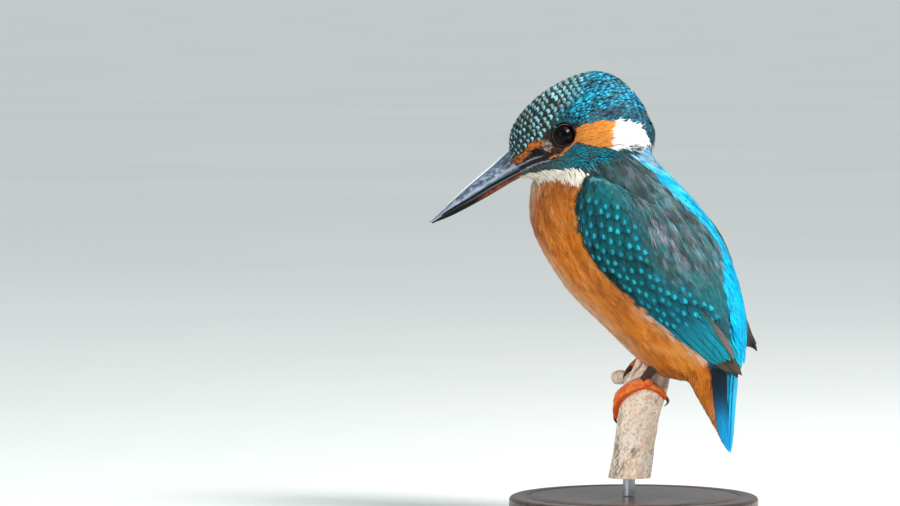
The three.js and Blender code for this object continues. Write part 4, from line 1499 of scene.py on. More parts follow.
@dataclass
class Coat:
    """Lays feathers on the skin along the lie of the plumage."""

    skin: Skin
    plumage: Plumage
    materials: Materials
    random: np.random.Generator
    candidates: int = 210000
    eye_clearance: float = 4.0
    patch: float = 0.003
    neck: float = 114.6
    places: Array = field(default_factory=lambda: np.zeros((0, 3)))
    normals: Array = field(default_factory=lambda: np.zeros((0, 3)))
    marks: Marks | None = None

    def prepare(self) -> None:
        """Scatters the places where feathers may be rooted and reads the pattern a little below each."""
        self.places, self.normals = self.skin.scatter(self.candidates, self.random)
        clear = self._to_eye(self.places) > self.eye_clearance
        self.places, self.normals = self.places[clear], self.normals[clear]
        lie = self.lie(self.places, self.normals)
        nearby = self.plumage.read(self.places + lie).zone
        reach = np.full(len(nearby), 1.0)
        for tract in TRACTS:
            reach[np.isin(nearby, [int(zone) for zone in tract.zones])] = 0.62 * tract.cut.length
        on_head = np.linalg.norm(HEAD.local(self.places) - BILL_BASE, axis=1)
        short = np.interp(on_head, (2, 24), (0.5, 1.0))
        reach = reach * np.where(above_neck(self.places, self.neck) > 0, short, 1)
        self.marks = self.plumage.read(self.places + lie * reach[:, None])

    def lie(self, points: Array, normals: Array) -> Array:
        """Gives the direction in which the feathers lie.

        Args:
            points: (n, 3) places on the skin.
            normals: The skin's normals there.

        Returns:
            Unit directions along the skin, from root to tip.
        """
        x, out, down = SPINE.local(points).T
        head = HEAD.aim(unit(HEAD.local(points) - BILL_BASE - (0, -2, 0)))
        upper = ramp(out, -10, 0)
        inwards = -0.5 * ramp(down, 44, 4) * upper * ramp(np.abs(x), 6, 11)
        pull = np.column_stack([0.0 * x, inwards, 1 + 0 * x])
        pull[:, 1] += 0.25 * ramp(np.abs(x), 8, 15) * (1 - upper) * ramp(down, 12, 30)
        pull[:, 0] -= np.sign(x) * 0.25 * ramp(down, 45, 75) * ramp(np.abs(x), 1, 6)
        body = unit(SPINE.aim(pull))
        tail = np.array([0.0, -0.066, -0.998])
        to_tail = (ramp(points[:, 2], 58, 44) * ramp(points[:, 1], 12, 20))[:, None]
        body = unit(body * (1 - to_tail) + tail * to_tail)
        share = ramp(above_neck(points, self.neck), -7, 8)[:, None]
        return flatten(head * share + body * (1 - share), normals)

    def unwrap(self, points: Array) -> Array:
        """Unrolls places: round the head from the bill, or round the trunk down the spine.

        Args:
            points: (n, 3) places on the skin.

        Returns:
            (n, 2) flat places, in millimetres.
        """
        local, round_head = SPINE.local(points), HEAD.local(points) - BILL_BASE
        turn = np.arctan2(local[:, 0], -(local[:, 1] + 3))
        spin = np.arctan2(round_head[:, 0], -(round_head[:, 2] + 3))
        on_head = above_neck(points, self.neck).mean() > 0
        if on_head:
            return np.column_stack([spin * 14, np.linalg.norm(round_head, axis=1)])
        return np.column_stack([turn * 19, local[:, 2]])

    def _spread(self, chosen: Array, spacing: float) -> Array:
        """Thins random places so that none are closer than spacing.

        Args:
            chosen: The numbers of the places.
            spacing: The least distance between two.

        Returns:
            The numbers kept.
        """
        kept: list[int] = []
        cells: dict[tuple[int, int, int], list[Array]] = {}
        places = self.places[chosen]
        for number, (cell, place) in enumerate(zip(np.floor(places / spacing).astype(int).tolist(), places)):
            a, b, c = cell
            crowded = False
            for i, j, k in product((a - 1, a, a + 1), (b - 1, b, b + 1), (c - 1, c, c + 1)):
                for other in cells.get((i, j, k), ()):
                    gap = other - place
                    if gap[0] * gap[0] + gap[1] * gap[1] + gap[2] * gap[2] < spacing * spacing:
                        crowded = True
                        break
                if crowded:
                    break
            if not crowded:
                cells.setdefault((a, b, c), []).append(place)
                kept.append(number)
        return chosen[kept]

    def _in_rows(self, chosen: Array, rows: float, spacing: float) -> Array:
        """Picks the places nearest to staggered rows, round the bill on the head and down the wing.

        Args:
            chosen: The numbers of the places.
            rows: The distance between two rows.
            spacing: The distance between two feathers of a row.

        Returns:
            The numbers picked.
        """
        places = self.places[chosen]
        mirrored = above_neck(places, self.neck).mean() < 0
        if not mirrored:
            local = HEAD.local(places) - BILL_BASE
            reach = np.linalg.norm(local, axis=1)
            marks = np.array([0, 6, 16, 26, 60])
            steps = np.array([0.62, 0.86, 1.1, 1.0]) * rows
            u = np.interp(reach, marks, np.concatenate([[0], np.cumsum(np.diff(marks) / steps)]))
            row = np.round(u)
            row_reach = np.interp(row, np.concatenate([[0], np.cumsum(np.diff(marks) / steps)]), marks)
            around = np.interp(row_reach, (3, 10, 18, 26, 40), (9, 15, 20, 22, 22))
            wide = spacing * np.interp(row_reach, (4, 20), (0.8, 1.0))
            v = np.arctan2(local[:, 0], local[:, 2] + 8) * around / wide
        else:
            x, out, down = SPINE.local(places).T
            down, out = self.plumage.wing_place(x, out, down)
            turn = np.arctan2(out + 3, np.abs(x))
            u = (down + 7.0 * turn) / rows
            v = 20 * turn / spacing
            row = np.round(u)
        column = np.round(v - 0.5 * (row % 2))
        chance = np.sin(row * SCATTER[0] + column * SCATTER[1]) * SCATTER_SCALE
        aside = (fraction(chance) - 0.5) * (0.42 if mirrored else 0.34)
        ahead = (fraction(chance * 7.31) - 0.5) * (0.3 if mirrored else 0.2)
        off = np.hypot(u - row - ahead, v - 0.5 * (row % 2) - column - aside)
        key = (row * 4096 + column + 2048) * 2 + (mirrored & (places[:, 0] > 0))
        order = np.lexsort((off, key))
        first = np.ones(len(order), bool)
        first[1:] = key[order][1:] != key[order][:-1]
        picked = order[first]
        return chosen[picked[off[picked] < 0.42]]

    def roots(self, tract: Tract) -> Array:
        """Picks the candidates where a tract's feathers are rooted.

        Args:
            tract: The tract.

        Returns:
            The numbers of the candidates.
        """
        zone = self.marks.zone
        along = SPINE.local(self.places)[:, 2]
        wanted = np.isin(zone, [int(z) for z in tract.zones])
        wanted &= (along > tract.band[0]) & (along < tract.band[1])
        if tract.side:
            wanted &= self.places[:, 0] * tract.side > 0
        chosen = np.flatnonzero(wanted)
        if tract.rows:
            return self._in_rows(chosen, tract.rows, tract.spacing)
        return self._spread(chosen, tract.spacing)

    def _turned(self, points: Array, normals: Array, twist: Array) -> Array:
        """Gives the lie of the feathers at each place, turned by a twist."""
        lie = self.lie(points, normals)
        return lie * np.cos(twist)[:, None] + np.cross(normals, lie) * np.sin(twist)[:, None]

    def march(
        self, roots: Array, normals: Array, lengths: Array, cut: Cut, twist: Array
    ) -> tuple[Array, Array]:
        """Runs each feather's centreline over the skin.

        Args:
            roots: Where the feathers start.
            normals: The skin's normals there.
            lengths: How long each is.
            cut: Their kind.
            twist: How far each is turned from the lie, in radians.

        Returns:
            The centrelines and the normals along them, each (n, rows + 1, 3).
        """
        heading = self._turned(roots, normals, twist)
        step = lengths[:, None] / cut.rows
        ground, up = roots.copy(), normals.copy()
        path, ups = [ground + up * cut.base], [up]
        find = self.skin.tree.find_nearest
        for row in range(1, cut.rows + 1):
            wanted = ground + heading * step
            found = np.array([(*hit[0], *hit[1]) for hit in map(find, wanted.tolist())])
            landed, normal = found[:, :3], found[:, 3:]
            gained = np.sum((landed - ground) * heading, axis=1)
            free = ((gained < 0.5 * step[:, 0]) | (np.sum(normal * up, axis=1) < 0.1))[:, None]
            ground = np.where(free, wanted, landed)
            up = unit(np.where(free, up, up * 0.35 + normal * 0.65))
            turned = self._turned(ground, up, twist)
            heading = flatten(np.where(free, heading, heading * 0.5 + turned * 0.5), up)
            share = row / cut.rows
            path.append(ground + up * (cut.base + (cut.lift - cut.base) * share**0.8))
            ups.append(up)
        return np.stack(path, 1), np.stack(ups, 1)

    def vanes(
        self, name: str, path: Array, ups: Array, widths: Array, cut: Cut, marks: tuple[Array, Array, Array],
        uv: Array, web: Array | None = None, taper: Array | float = 1.0,
    ) -> bpy.types.Object:
        """Builds the vanes of one piece.

        Args:
            name: The piece's name.
            path: (n, rows + 1, 3) centrelines.
            ups: Normals along them.
            widths: The full width of each vane.
            cut: Their kind.
            marks: The tone and accent of each vane, or of each of its rows, and the accent's strength.
            uv: Each vane's place on the unwrapped skin, from 0 to 1.
            web: Each blade's place across its feather, where several make up one vane.
            taper: The share of the width kept at each row.

        Returns:
            The piece.
        """
        count, rows = path.shape[0], path.shape[1] - 1
        ahead = unit(np.gradient(path, axis=1))
        sideways = unit(np.cross(ups, ahead))
        share = np.linspace(0, 1, rows + 1)
        base = np.sqrt(np.clip(share / 0.28, 0.16, 1))
        tip_start = 0.45 + 0.3 * cut.blunt
        tip = np.clip((share - tip_start) / (1 - tip_start), 0, 1)
        outline = base * (1 - 0.93 * tip ** (1.2 + 1.6 * cut.blunt))
        across = np.linspace(-1, 1, cut.columns + 1)
        half = (widths[:, None, None] / 2) * (outline * taper)[None, :, None]
        offset = half * across[None, None, :]
        drop = cut.camber * half * across[None, None, :] ** 2 * 2
        points = path[:, :, None] + sideways[:, :, None] * offset[..., None]
        points = (points - ups[:, :, None] * drop[..., None]).reshape(-1, 3)
        wide = cut.columns + 1
        grid = np.arange(count * (rows + 1) * wide).reshape(count, rows + 1, wide)
        quads = np.stack([grid[:, :-1, :-1], grid[:, :-1, 1:], grid[:, 1:, 1:], grid[:, 1:, :-1]], -1)
        quads = quads.reshape(-1, 4)
        piece = quad_piece(name, points, quads)
        tone, accent, strength = marks
        each = (rows + 1) * wide
        if tone.ndim == 3:
            paint(piece, "tone", np.repeat(with_alpha(tone.reshape(-1, 3), 1.0), wide, axis=0))
        else:
            paint(piece, "tone", np.repeat(with_alpha(tone, 1.0), each, axis=0))
        paint(piece, "accent", np.repeat(with_alpha(accent, strength), each, axis=0))
        own = np.repeat(self.random.random(count), each)
        beside = np.tile(across, count * (rows + 1))
        if web is not None:
            beside = np.repeat(web, each) + 0.06 * beside
        vane = np.column_stack([beside, np.tile(np.repeat(share, wide), count), own])
        layer = piece.data.attributes.new("vane", "FLOAT_VECTOR", "POINT")
        layer.data.foreach_set("vector", np.ascontiguousarray(vane, np.float32).ravel())
        spot = np.repeat(0.004 + 0.992 * uv, each, axis=0)
        spot += (vane[:, :2] * (0.5, 1) - (0, 0.5)) * self.patch
        bake = piece.data.uv_layers.new(name="OFBake")
        bake.data.foreach_set("uv", np.ascontiguousarray(spot[quads.ravel()], np.float32).ravel())
        return piece

    def long_vanes(
        self, name: str, paths: list[Array], ups: list[Array], cut: Cut, marks: tuple[Array, Array, Array],
        taper: Array,
    ) -> bpy.types.Object:
        """Builds a few long vanes of equal width, side by side on their own strip.

        Args:
            name: The piece's name.
            paths: Their centrelines.
            ups: The normals along them.
            cut: Their kind.
            marks: Their tones, their accents and the accents' strengths.
            taper: The share of the width kept at each row.

        Returns:
            The piece.
        """
        count = len(paths)
        strip = np.column_stack([np.linspace(0.1, 0.9, count), np.full(count, 0.5)])
        widths = np.full(count, cut.width)
        return self.vanes(name, np.stack(paths), np.stack(ups), widths, cut, marks, strip, taper=taper)

    def lay(self, tract: Tract) -> bpy.types.Object:
        """Lays one tract of the coat.

        Args:
            tract: The tract.

        Returns:
            The finished piece.
        """
        cut, chosen = tract.cut, self.roots(tract)
        count = len(chosen)
        roots, normals = self.places[chosen], self.normals[chosen]
        lengths = cut.length * (1 + cut.uneven * self.random.uniform(-1, 1, count))
        if any(zone in tract.zones for zone in (Zone.CROWN, Zone.FACE, Zone.THROAT, Zone.MALAR, Zone.CREST)):
            reach = np.linalg.norm(HEAD.local(roots) - BILL_BASE, axis=1)
            lengths = lengths * np.interp(reach, (2, 12, 24, 34), (0.5, 0.75, 1.0, 1.08))
        lengths = lengths * self._room(roots)
        twist = self.random.normal(0, cut.sway, count)
        path, ups = self.march(roots, normals, lengths, cut, twist)
        widths = cut.width * self.random.uniform(0.88, 1.12, count) * np.clip(lengths / cut.length, 0.6, 1.2)
        tone, accent = self.marks.tone[chosen], self.marks.accent[chosen]
        strength = self.marks.strength[chosen] * self.random.uniform(1 - cut.whim, 1.0, count)
        flat = self.unwrap(roots)
        flat = (flat - flat.min(0)) / np.maximum(np.ptp(flat, axis=0), 1e-6)
        web = None
        if cut.blades > 1:
            path, ups, widths, lengths, web = self._fan(path, ups, widths, lengths, cut)
            tone, accent, flat = (np.repeat(rows, cut.blades, axis=0) for rows in (tone, accent, flat))
            strength = np.repeat(strength, cut.blades)
        light = 1 + cut.shade * self.random.normal(0, 1, len(tone))
        web = web if cut.web else None
        if cut.blades > 1 and web is None:
            strength = np.zeros(len(tone))
        tone = np.clip(tone * np.clip(light, 0.5, 1.5)[:, None], 0, 1)
        piece = self.vanes(tract.name, path, ups, widths, cut, (tone, accent, strength), flat, web)
        return settle(piece, self.materials.feather(tract.finish), tract.slot)

    def _room(self, roots: Array) -> Array:
        """Gives the share of its length that each feather keeps, so that none runs over an eye."""
        return np.interp(self._to_eye(roots), (self.eye_clearance, 8.0), (0.4, 1.0))

    @staticmethod
    def _to_eye(points: Array) -> Array:
        """Gives the distance from each place to the nearer eye."""
        eyes = [HEAD.world(EYE_PLACE * (sign, 1, 1)) for sign in (1, -1)]
        return np.min([np.linalg.norm(points - eye, axis=1) for eye in eyes], axis=0)

    def _fan(
        self, path: Array, ups: Array, widths: Array, lengths: Array, cut: Cut
    ) -> tuple[Array, Array, Array, Array, Array]:
        """Splits each centreline into the blades of a tuft, spread sideways and of uneven length.

        Args:
            path: The tufts' centrelines.
            ups: The normals along them.
            widths: The width of each blade.
            lengths: The length of each tuft.
            cut: Their kind.

        Returns:
            The blades' centrelines, normals, widths and lengths, and each one's place in its tuft.
        """
        count, rows = path.shape[:2]
        total = count * cut.blades
        path, ups = np.repeat(path, cut.blades, axis=0), np.repeat(ups, cut.blades, axis=0)
        widths, lengths = np.repeat(widths, cut.blades), np.repeat(lengths, cut.blades)
        sideways = unit(np.cross(ups, unit(np.gradient(path, axis=1))))
        place_in_web = np.tile(np.linspace(-1, 1, cut.blades), count)
        fan = place_in_web * cut.splay + self.random.normal(0, 0.3 * cut.splay, total)
        share = np.linspace(0, 1, rows)
        trim = self.random.uniform(0.72, 1.0, total)
        if cut.web:
            trim = 1 - 0.3 * np.abs(place_in_web) ** 2.2 - self.random.uniform(0, 0.07, total)
        place = share[None] * trim[:, None] * (rows - 1)
        low = np.clip(np.floor(place).astype(int), 0, rows - 2)
        part = (place - low)[..., None]
        pick = np.arange(total)[:, None]
        path = path[pick, low] * (1 - part) + path[pick, low + 1] * part
        start = self.random.uniform(-0.5, 0.5, total) * cut.width * 1.5
        spread = start[:, None] + (np.tan(fan) * lengths)[:, None] * share[None] ** 1.1
        rise = self.random.uniform(-0.12, 0.3, total)[:, None] * share[None] * cut.lift
        if cut.web:
            aside = place_in_web + self.random.normal(0, 0.03, total)
            half = 0.5 * cut.web * (lengths / cut.length) * aside
            spread = half[:, None] * np.sqrt(np.clip(share / 0.45, 0.1, 1))[None]
            rise = -0.12 * cut.web * (place_in_web**2)[:, None] + self.random.uniform(0, 0.06, total)[:, None]
        path = path + sideways * spread[..., None] + ups * rise[..., None]
        return path, ups, widths, lengths, place_in_web


CROWN_SCALE = FeatherFinish(
    "crown_feathers", mark_start=0.47, mark_end=0.79, mark_width=1.0, mark_curl=0.2, barbs=5, barb_shade=0.2,
    edge_shade=0.2, clumps=0.5,
)
CREST_SCALE = FeatherFinish(
    "crest_feathers", mark_start=0.42, mark_end=0.86, mark_width=0.55, mark_curl=0.1, barbs=3,
    barb_shade=0.15, edge_shade=0.35, clumps=0.5,
)
HAIR = FeatherFinish(
    "hair_feathers", barbs=1, barb_shade=0.04, edge_shade=0.1, barb_depth=0.1, root_shade=0.15
)
MALAR_SCALE = FeatherFinish(
    "malar_feathers", mark_start=0.5, mark_end=0.85, mark_width=0.6, barbs=3, barb_shade=0.1, edge_shade=0.15
)
WHITE_DOWN = FeatherFinish(
    "white_feathers", barbs=1, barb_shade=0.02, edge_shade=0.05, sheen=0.1, barb_depth=0.1, root_shade=0.05
)
BACK_SILK = FeatherFinish(
    "back_feathers", barbs=1, barb_shade=0.04, edge_shade=0.15, roughness=0.45, sheen=0.0, root_shade=0.1
)
COVERT_VANE = FeatherFinish(
    "covert_feathers", mark_start=0.6, mark_end=0.93, mark_width=0.3, mark_taper=0.8, barbs=14, slant=3.0,
    barb_shade=0.25, edge_shade=0.3, clumps=0.25,
)
BREAST_DOWN = FeatherFinish(
    "breast_feathers", barbs=1, barb_shade=0.03, edge_shade=0.1, sheen=0.08, barb_depth=0.1, root_shade=0.15
)
FLIGHT_VANE = FeatherFinish(
    "flight_feathers", barbs=46, slant=7.0, mark_start=-0.9, mark_end=0.3, mark_width=1.0, edge_shade=0.6,
    barb_shade=0.3, roughness=0.5, clumps=0.25,
)
TAIL_VANE = FeatherFinish(
    "tail_feathers", barbs=52, slant=7.0, mark_start=-0.9, mark_end=0.12, mark_width=1.2, edge_shade=0.25,
    barb_shade=0.15, roughness=0.42, clumps=0.2,
)

BELLY = Cut(6.4, 0.14, blades=11, splay=0.15, rows=4, columns=1, lift=0.8, shade=0.1, sway=0.08)
CLOAK = Cut(7.6, 0.14, blades=11, splay=0.085, rows=4, columns=1, lift=0.5, shade=0.15, sway=0.06)
SHAWL = Cut(4.8, 0.16, blades=8, splay=0.18, rows=4, columns=1, lift=0.65, sway=0.08)
SILK = Cut(6.4, 0.16, blades=11, splay=0.1, rows=5, columns=1, lift=0.8, shade=0.12, sway=0.08)
SCALE = Cut(3.8, 1.8, rows=6, columns=4, lift=0.5, sway=0.06, blunt=0.95, uneven=0.1, shade=0.16, whim=0.5)
FLECK = Cut(2.7, 0.95, rows=5, columns=3, lift=0.6, sway=0.12, uneven=0.2, shade=0.2, whim=0.7, blunt=0.8)
WEB = Cut(
    5.6, 0.42, blades=13, rows=6, columns=1, lift=0.75, sway=0.05, uneven=0.06, web=3.7, shade=0.05, whim=0.25
)


def tuft(length: float, width: float, **more: float) -> Cut:
    """Makes the cut of a small eight-bladed tuft."""
    return Cut(length, width, **{"blades": 8, "rows": 4, "columns": 1, **more})


HEAD_SLOT, BREAST_SLOT, WING_SLOT = "head_plumage", "breast_plumage", "wing_plumage"
FLIGHT_SLOT = "flight_plumage"
TRACTS = (
    Tract("crown_coat", (Zone.CROWN,), SCALE, 1.5, CROWN_SCALE, HEAD_SLOT, rows=1.75),
    Tract("crest_coat", (Zone.CREST,), FLECK, 0.86, CREST_SCALE, HEAD_SLOT, rows=1.12),
    Tract("brow_coat", (Zone.BROW,), tuft(3.4, 0.2, splay=0.14, lift=0.7, sway=0.1), 0.62, HAIR, HEAD_SLOT),
    Tract("nape_coat", (Zone.NAPE,), tuft(4.8, 0.24, splay=0.18, rows=5, lift=1.2, sway=0.3),
          0.85, HAIR, HEAD_SLOT),
    Tract("face_coat", (Zone.FACE,), tuft(1.6, 0.14, blades=5, splay=0.22, rows=3, lift=0.28),
          0.42, HAIR, HEAD_SLOT),
    Tract("gape_skin", (Zone.GAPE,), Cut(1.5, 0.34, rows=3, lift=0.2, sway=0.02, shade=0.04),
          0.26, HAIR, HEAD_SLOT),
    Tract("ear_coat", (Zone.EAR,), tuft(3.0, 0.16, splay=0.14, lift=0.36, shade=0.06, sway=0.08),
          0.6, HAIR, HEAD_SLOT),
    Tract("collar_coat", (Zone.COLLAR,), tuft(3.6, 0.2, splay=0.16, lift=0.45, shade=0.03, sway=0.08),
          0.75, WHITE_DOWN, "neck_plumage"),
    Tract("throat_coat", (Zone.THROAT,), tuft(3.8, 0.2, splay=0.18, lift=0.7, shade=0.04, sway=0.1),
          0.75, WHITE_DOWN, HEAD_SLOT),
    Tract("malar_coat", (Zone.MALAR,), Cut(2.4, 0.42, rows=4, lift=0.2, shade=0.14, sway=0.06, whim=0.5),
          0.4, MALAR_SCALE, HEAD_SLOT),
    Tract("back_coat", (Zone.BACK,), SILK, 0.84, BACK_SILK, WING_SLOT),
    Tract("mantle_left", (Zone.MANTLE,), CLOAK, 0.78, HAIR, WING_SLOT, side=1),
    Tract("mantle_right", (Zone.MANTLE,), CLOAK, 0.78, HAIR, WING_SLOT, side=-1),
    Tract("lesser_coverts", (Zone.LESSER,), tuft(3.4, 0.17, splay=0.12, lift=0.35), 0.62, HAIR, WING_SLOT),
    Tract("coverts", (Zone.COVERT,), WEB, 3.3, COVERT_VANE, WING_SLOT, rows=2.8),
    Tract("breast_upper", (Zone.BREAST,), SHAWL, 0.84, BREAST_DOWN, BREAST_SLOT, band=(-200, 16)),
    Tract("breast_left", (Zone.BREAST,), BELLY, 0.84, BREAST_DOWN, BREAST_SLOT, side=1, band=(16, 200)),
    Tract("breast_right", (Zone.BREAST,), BELLY, 0.84, BREAST_DOWN, BREAST_SLOT, side=-1, band=(16, 200)),
    Tract("vent_coat", (Zone.VENT,), tuft(7.5, 0.34, blades=7, splay=0.12, rows=5, lift=0.8),
          1.05, BREAST_DOWN, "undertail_plumage"),
)


@dataclass(frozen=True)
class Rank:
    """One rank of long vanes in a wing: its feathers' roots, waists and tips as (down, out) places.

    Each vane lies a step higher than the one before. On the right wing gather draws the tips
    towards the last one, and tuck draws them in.
    """

    name: str
    lines: tuple
    width: float
    tip_width: float
    height: float
    tone: tuple
    root_tone: tuple
    edge: tuple
    slot: str = WING_SLOT
    blunt: float = 0.8
    step: float = 0.1
    gather: float = 0.0
    tuck: float = 0.0


SECONDARY_LINES = tuple(
    ((46.0 + 0.8 * i, -3.2 + 1.9 * i), (60.8, 1.0 + 1.9 * i), (71.2 + 0.4 * i, 4.2 + 1.15 * i))
    for i in range(6)
)
PRIMARY_LINES = tuple(
    ((50.0, 0.0 + 1.7 * i), (66.0, 3.4 + 1.3 * i), (74.4 + 1.0 * i, 5.4 + 0.75 * i)) for i in range(5)
)
TERTIAL_LINES = (((50, 8.6), (63.6, 11.2), (73.4, 9.3)),)
RANKS = (
    Rank("primaries", PRIMARY_LINES, 4.2, 3.4, 0.1, (92, 80, 68), (40, 40, 38), (40, 36, 32), FLIGHT_SLOT,
         1.0, 0.03, 0.85),
    Rank("secondaries", SECONDARY_LINES, 3.1, 3.1, 0.8, (0, 152, 172), (0, 124, 146), (0, 84, 104), blunt=1.5,
         step=0.12, tuck=3.0),
    Rank("tertials", TERTIAL_LINES, 3.0, 1.6, 1.5, (122, 102, 96), (50, 92, 94), (92, 58, 42), tuck=3.0),
)


@dataclass
class FlightFeathers:
    """The long feathers of the wing tips, laid in overlapping ranks from below upwards."""

    coat: Coat
    rows: int = 20
    reach: float = 60.0

    def build(self) -> None:
        """Builds each rank of both wings."""
        for rank, (side, name) in product(RANKS, ((1, "left"), (-1, "right"))):
            self._lay(rank, side, name)

    def _lay(self, rank: Rank, side: int, name: str) -> None:
        """Lays one rank on one wing.

        Args:
            rank: The rank.
            side: 1 for the left wing and -1 for the right.
            name: The wing's name.
        """
        share = np.linspace(0, 1, self.rows + 1)
        paths, ups = [], []
        for order, keys in enumerate(rank.lines):
            root, waist, tip = (np.array(key, float) for key in keys)
            if side < 0:
                tip = tip + (np.array(rank.lines[-1][2]) - tip) * rank.gather - (0, rank.tuck)
                waist = waist - (0, 0.7 * rank.tuck)
            part = np.linalg.norm(waist - root) / (np.linalg.norm(waist - root) + np.linalg.norm(tip - waist))
            bend = (waist - (1 - part) ** 2 * root - part**2 * tip) / (2 * part * (1 - part))
            short = 0.22 * rank.gather * (side < 0) * (1 - order / len(rank.lines))
            run = share * (1 - short)
            weights = np.stack([(1 - run) ** 2, 2 * run * (1 - run), run**2], 1)
            down, out = (weights @ np.stack([root, bend, tip])).T
            if side < 0:
                out = out + 4.4 * ramp(down, 56, 80)
                down = down - 6.6 * ramp(down, 20, 80)
            place, normal = self._onto_wing(SPINE.world(np.column_stack([0 * out, out, down])), side)
            lift = (rank.height + rank.step * order) * ramp(share, 0.1, 0.6)[:, None]
            paths.append(place + normal * (lift + 0.2 * ramp(share, 0.7, 1)[:, None]))
            ups.append(normal)
        count = len(paths)
        cut = Cut(24, rank.width, rows=self.rows, columns=10, blunt=rank.blunt, camber=0.06)
        body = shades(rank.root_tone, rank.tone, ramp(share, 0.35, 0.75))
        tones = body[None] * self.coat.random.uniform(0.86, 1.1, (count, 1, 1))
        accents = np.repeat(linear(*rank.edge)[None], count, axis=0)
        taper = 1 - (1 - rank.tip_width / rank.width * (1 - 0.6 * rank.gather * (side < 0))) * share
        marks = (tones, accents, np.full(count, 0.3))
        piece = self.coat.long_vanes(f"{rank.name}_{name}_coat", paths, ups, cut, marks, taper)
        settle(piece, self.coat.materials.feather(FLIGHT_VANE), rank.slot)

    def _onto_wing(self, line: Array, side: int) -> tuple[Array, Array]:
        """Drops a line from beside the bird onto the wing.

        Args:
            line: Places in the bird's middle plane.
            side: 1 for the left wing and -1 for the right.

        Returns:
            The places on the wing, and its eased normals.
        """
        beam = Vector((-side, 0, 0))
        places, normals = [], []
        for before, spot in zip(np.vstack([line[:1], line[:-1]]), line):
            hit = self.coat.skin.tree.ray_cast(Vector(spot + (side * self.reach, 0, 0)), beam)
            if hit[0] is not None and hit[0][0] * side > 2:
                places.append(np.array(hit[0]))
                normals.append(np.array(hit[1]))
            elif places:
                ahead = places[-1] - places[-2] if len(places) > 1 else spot - before
                places.append(places[-1] + ahead)
                normals.append(normals[-1])
            else:
                places.append(spot + (side * 15, 0, 0))
                normals.append(np.array([side, 0.0, 0.0]))
        place, normal = np.array(places), unit(np.array(normals))
        for _ in range(4):
            place[1:-1] = (place[:-2] + 2 * place[1:-1] + place[2:]) / 4
            normal[1:-1] = unit(normal[:-2] + normal[1:-1] + normal[2:])
            normal[0], normal[-1] = normal[1], normal[-2]
        return place, normal


@dataclass
class TailFeathers:
    """The twelve tail feathers, folded into a narrow roof."""

    coat: Coat
    length: float = 28.8
    width: float = 4.4
    rows: int = 16
    steps: tuple[float, float] = (1.05, 0.85)

    def build(self) -> None:
        """Builds the tail."""
        share = np.linspace(0, 1, self.rows + 1)
        paths, ups, tones, accents, strengths = [], [], [], [], []
        for side, order in product((1, -1), range(6)):
            spread = side * (0.5 + order * self.steps[0])
            reach = self.length - 0.3 * order**1.5
            across = spread * (1 - 0.4 * share**1.6)
            drawn = 1 - 0.72 * share**1.4
            behind = 0.3 - self.steps[1] * order * drawn - 0.1 * share + 0.06 * side * (order == 0)
            paths.append(TAIL.world(np.column_stack([across, behind, 3.0 - (reach + 3.0) * share])))
            tilt = math.radians(14 + 10 * order) * side
            ups.append(np.repeat(TAIL.aim([[math.sin(tilt), math.cos(tilt), 0]]), self.rows + 1, axis=0))
            tone = shades((0, 184, 232), (0, 92, 140), ramp(order, 0, 2.5))
            tone = mix(tone, linear(0, 158, 218), 0.85 * ramp(share, 0.45, 0.85))
            shadow = float(ramp(order, 0.5, 3.5)) * ramp(share, 0.9, 0.3)
            tones.append(mix(tone, linear(0, 24, 32), 0.95 * shadow) * self.coat.random.uniform(0.94, 1.06))
            accents.append(linear(0, 16, 24))
            strengths.append(0.95 * float(ramp(order, 0.5, 2.5)))
        cut = Cut(self.length, self.width, rows=self.rows, columns=8, blunt=1.3, camber=0.1)
        marks = (np.array(tones), np.array(accents), np.array(strengths))
        piece = self.coat.long_vanes("tail_coat", paths, ups, cut, marks, 1 - 0.48 * share**1.5)
        settle(piece, self.coat.materials.feather(TAIL_VANE), "tail_plumage")


# ---------------------------------------------------------------- bill, eyes and feet


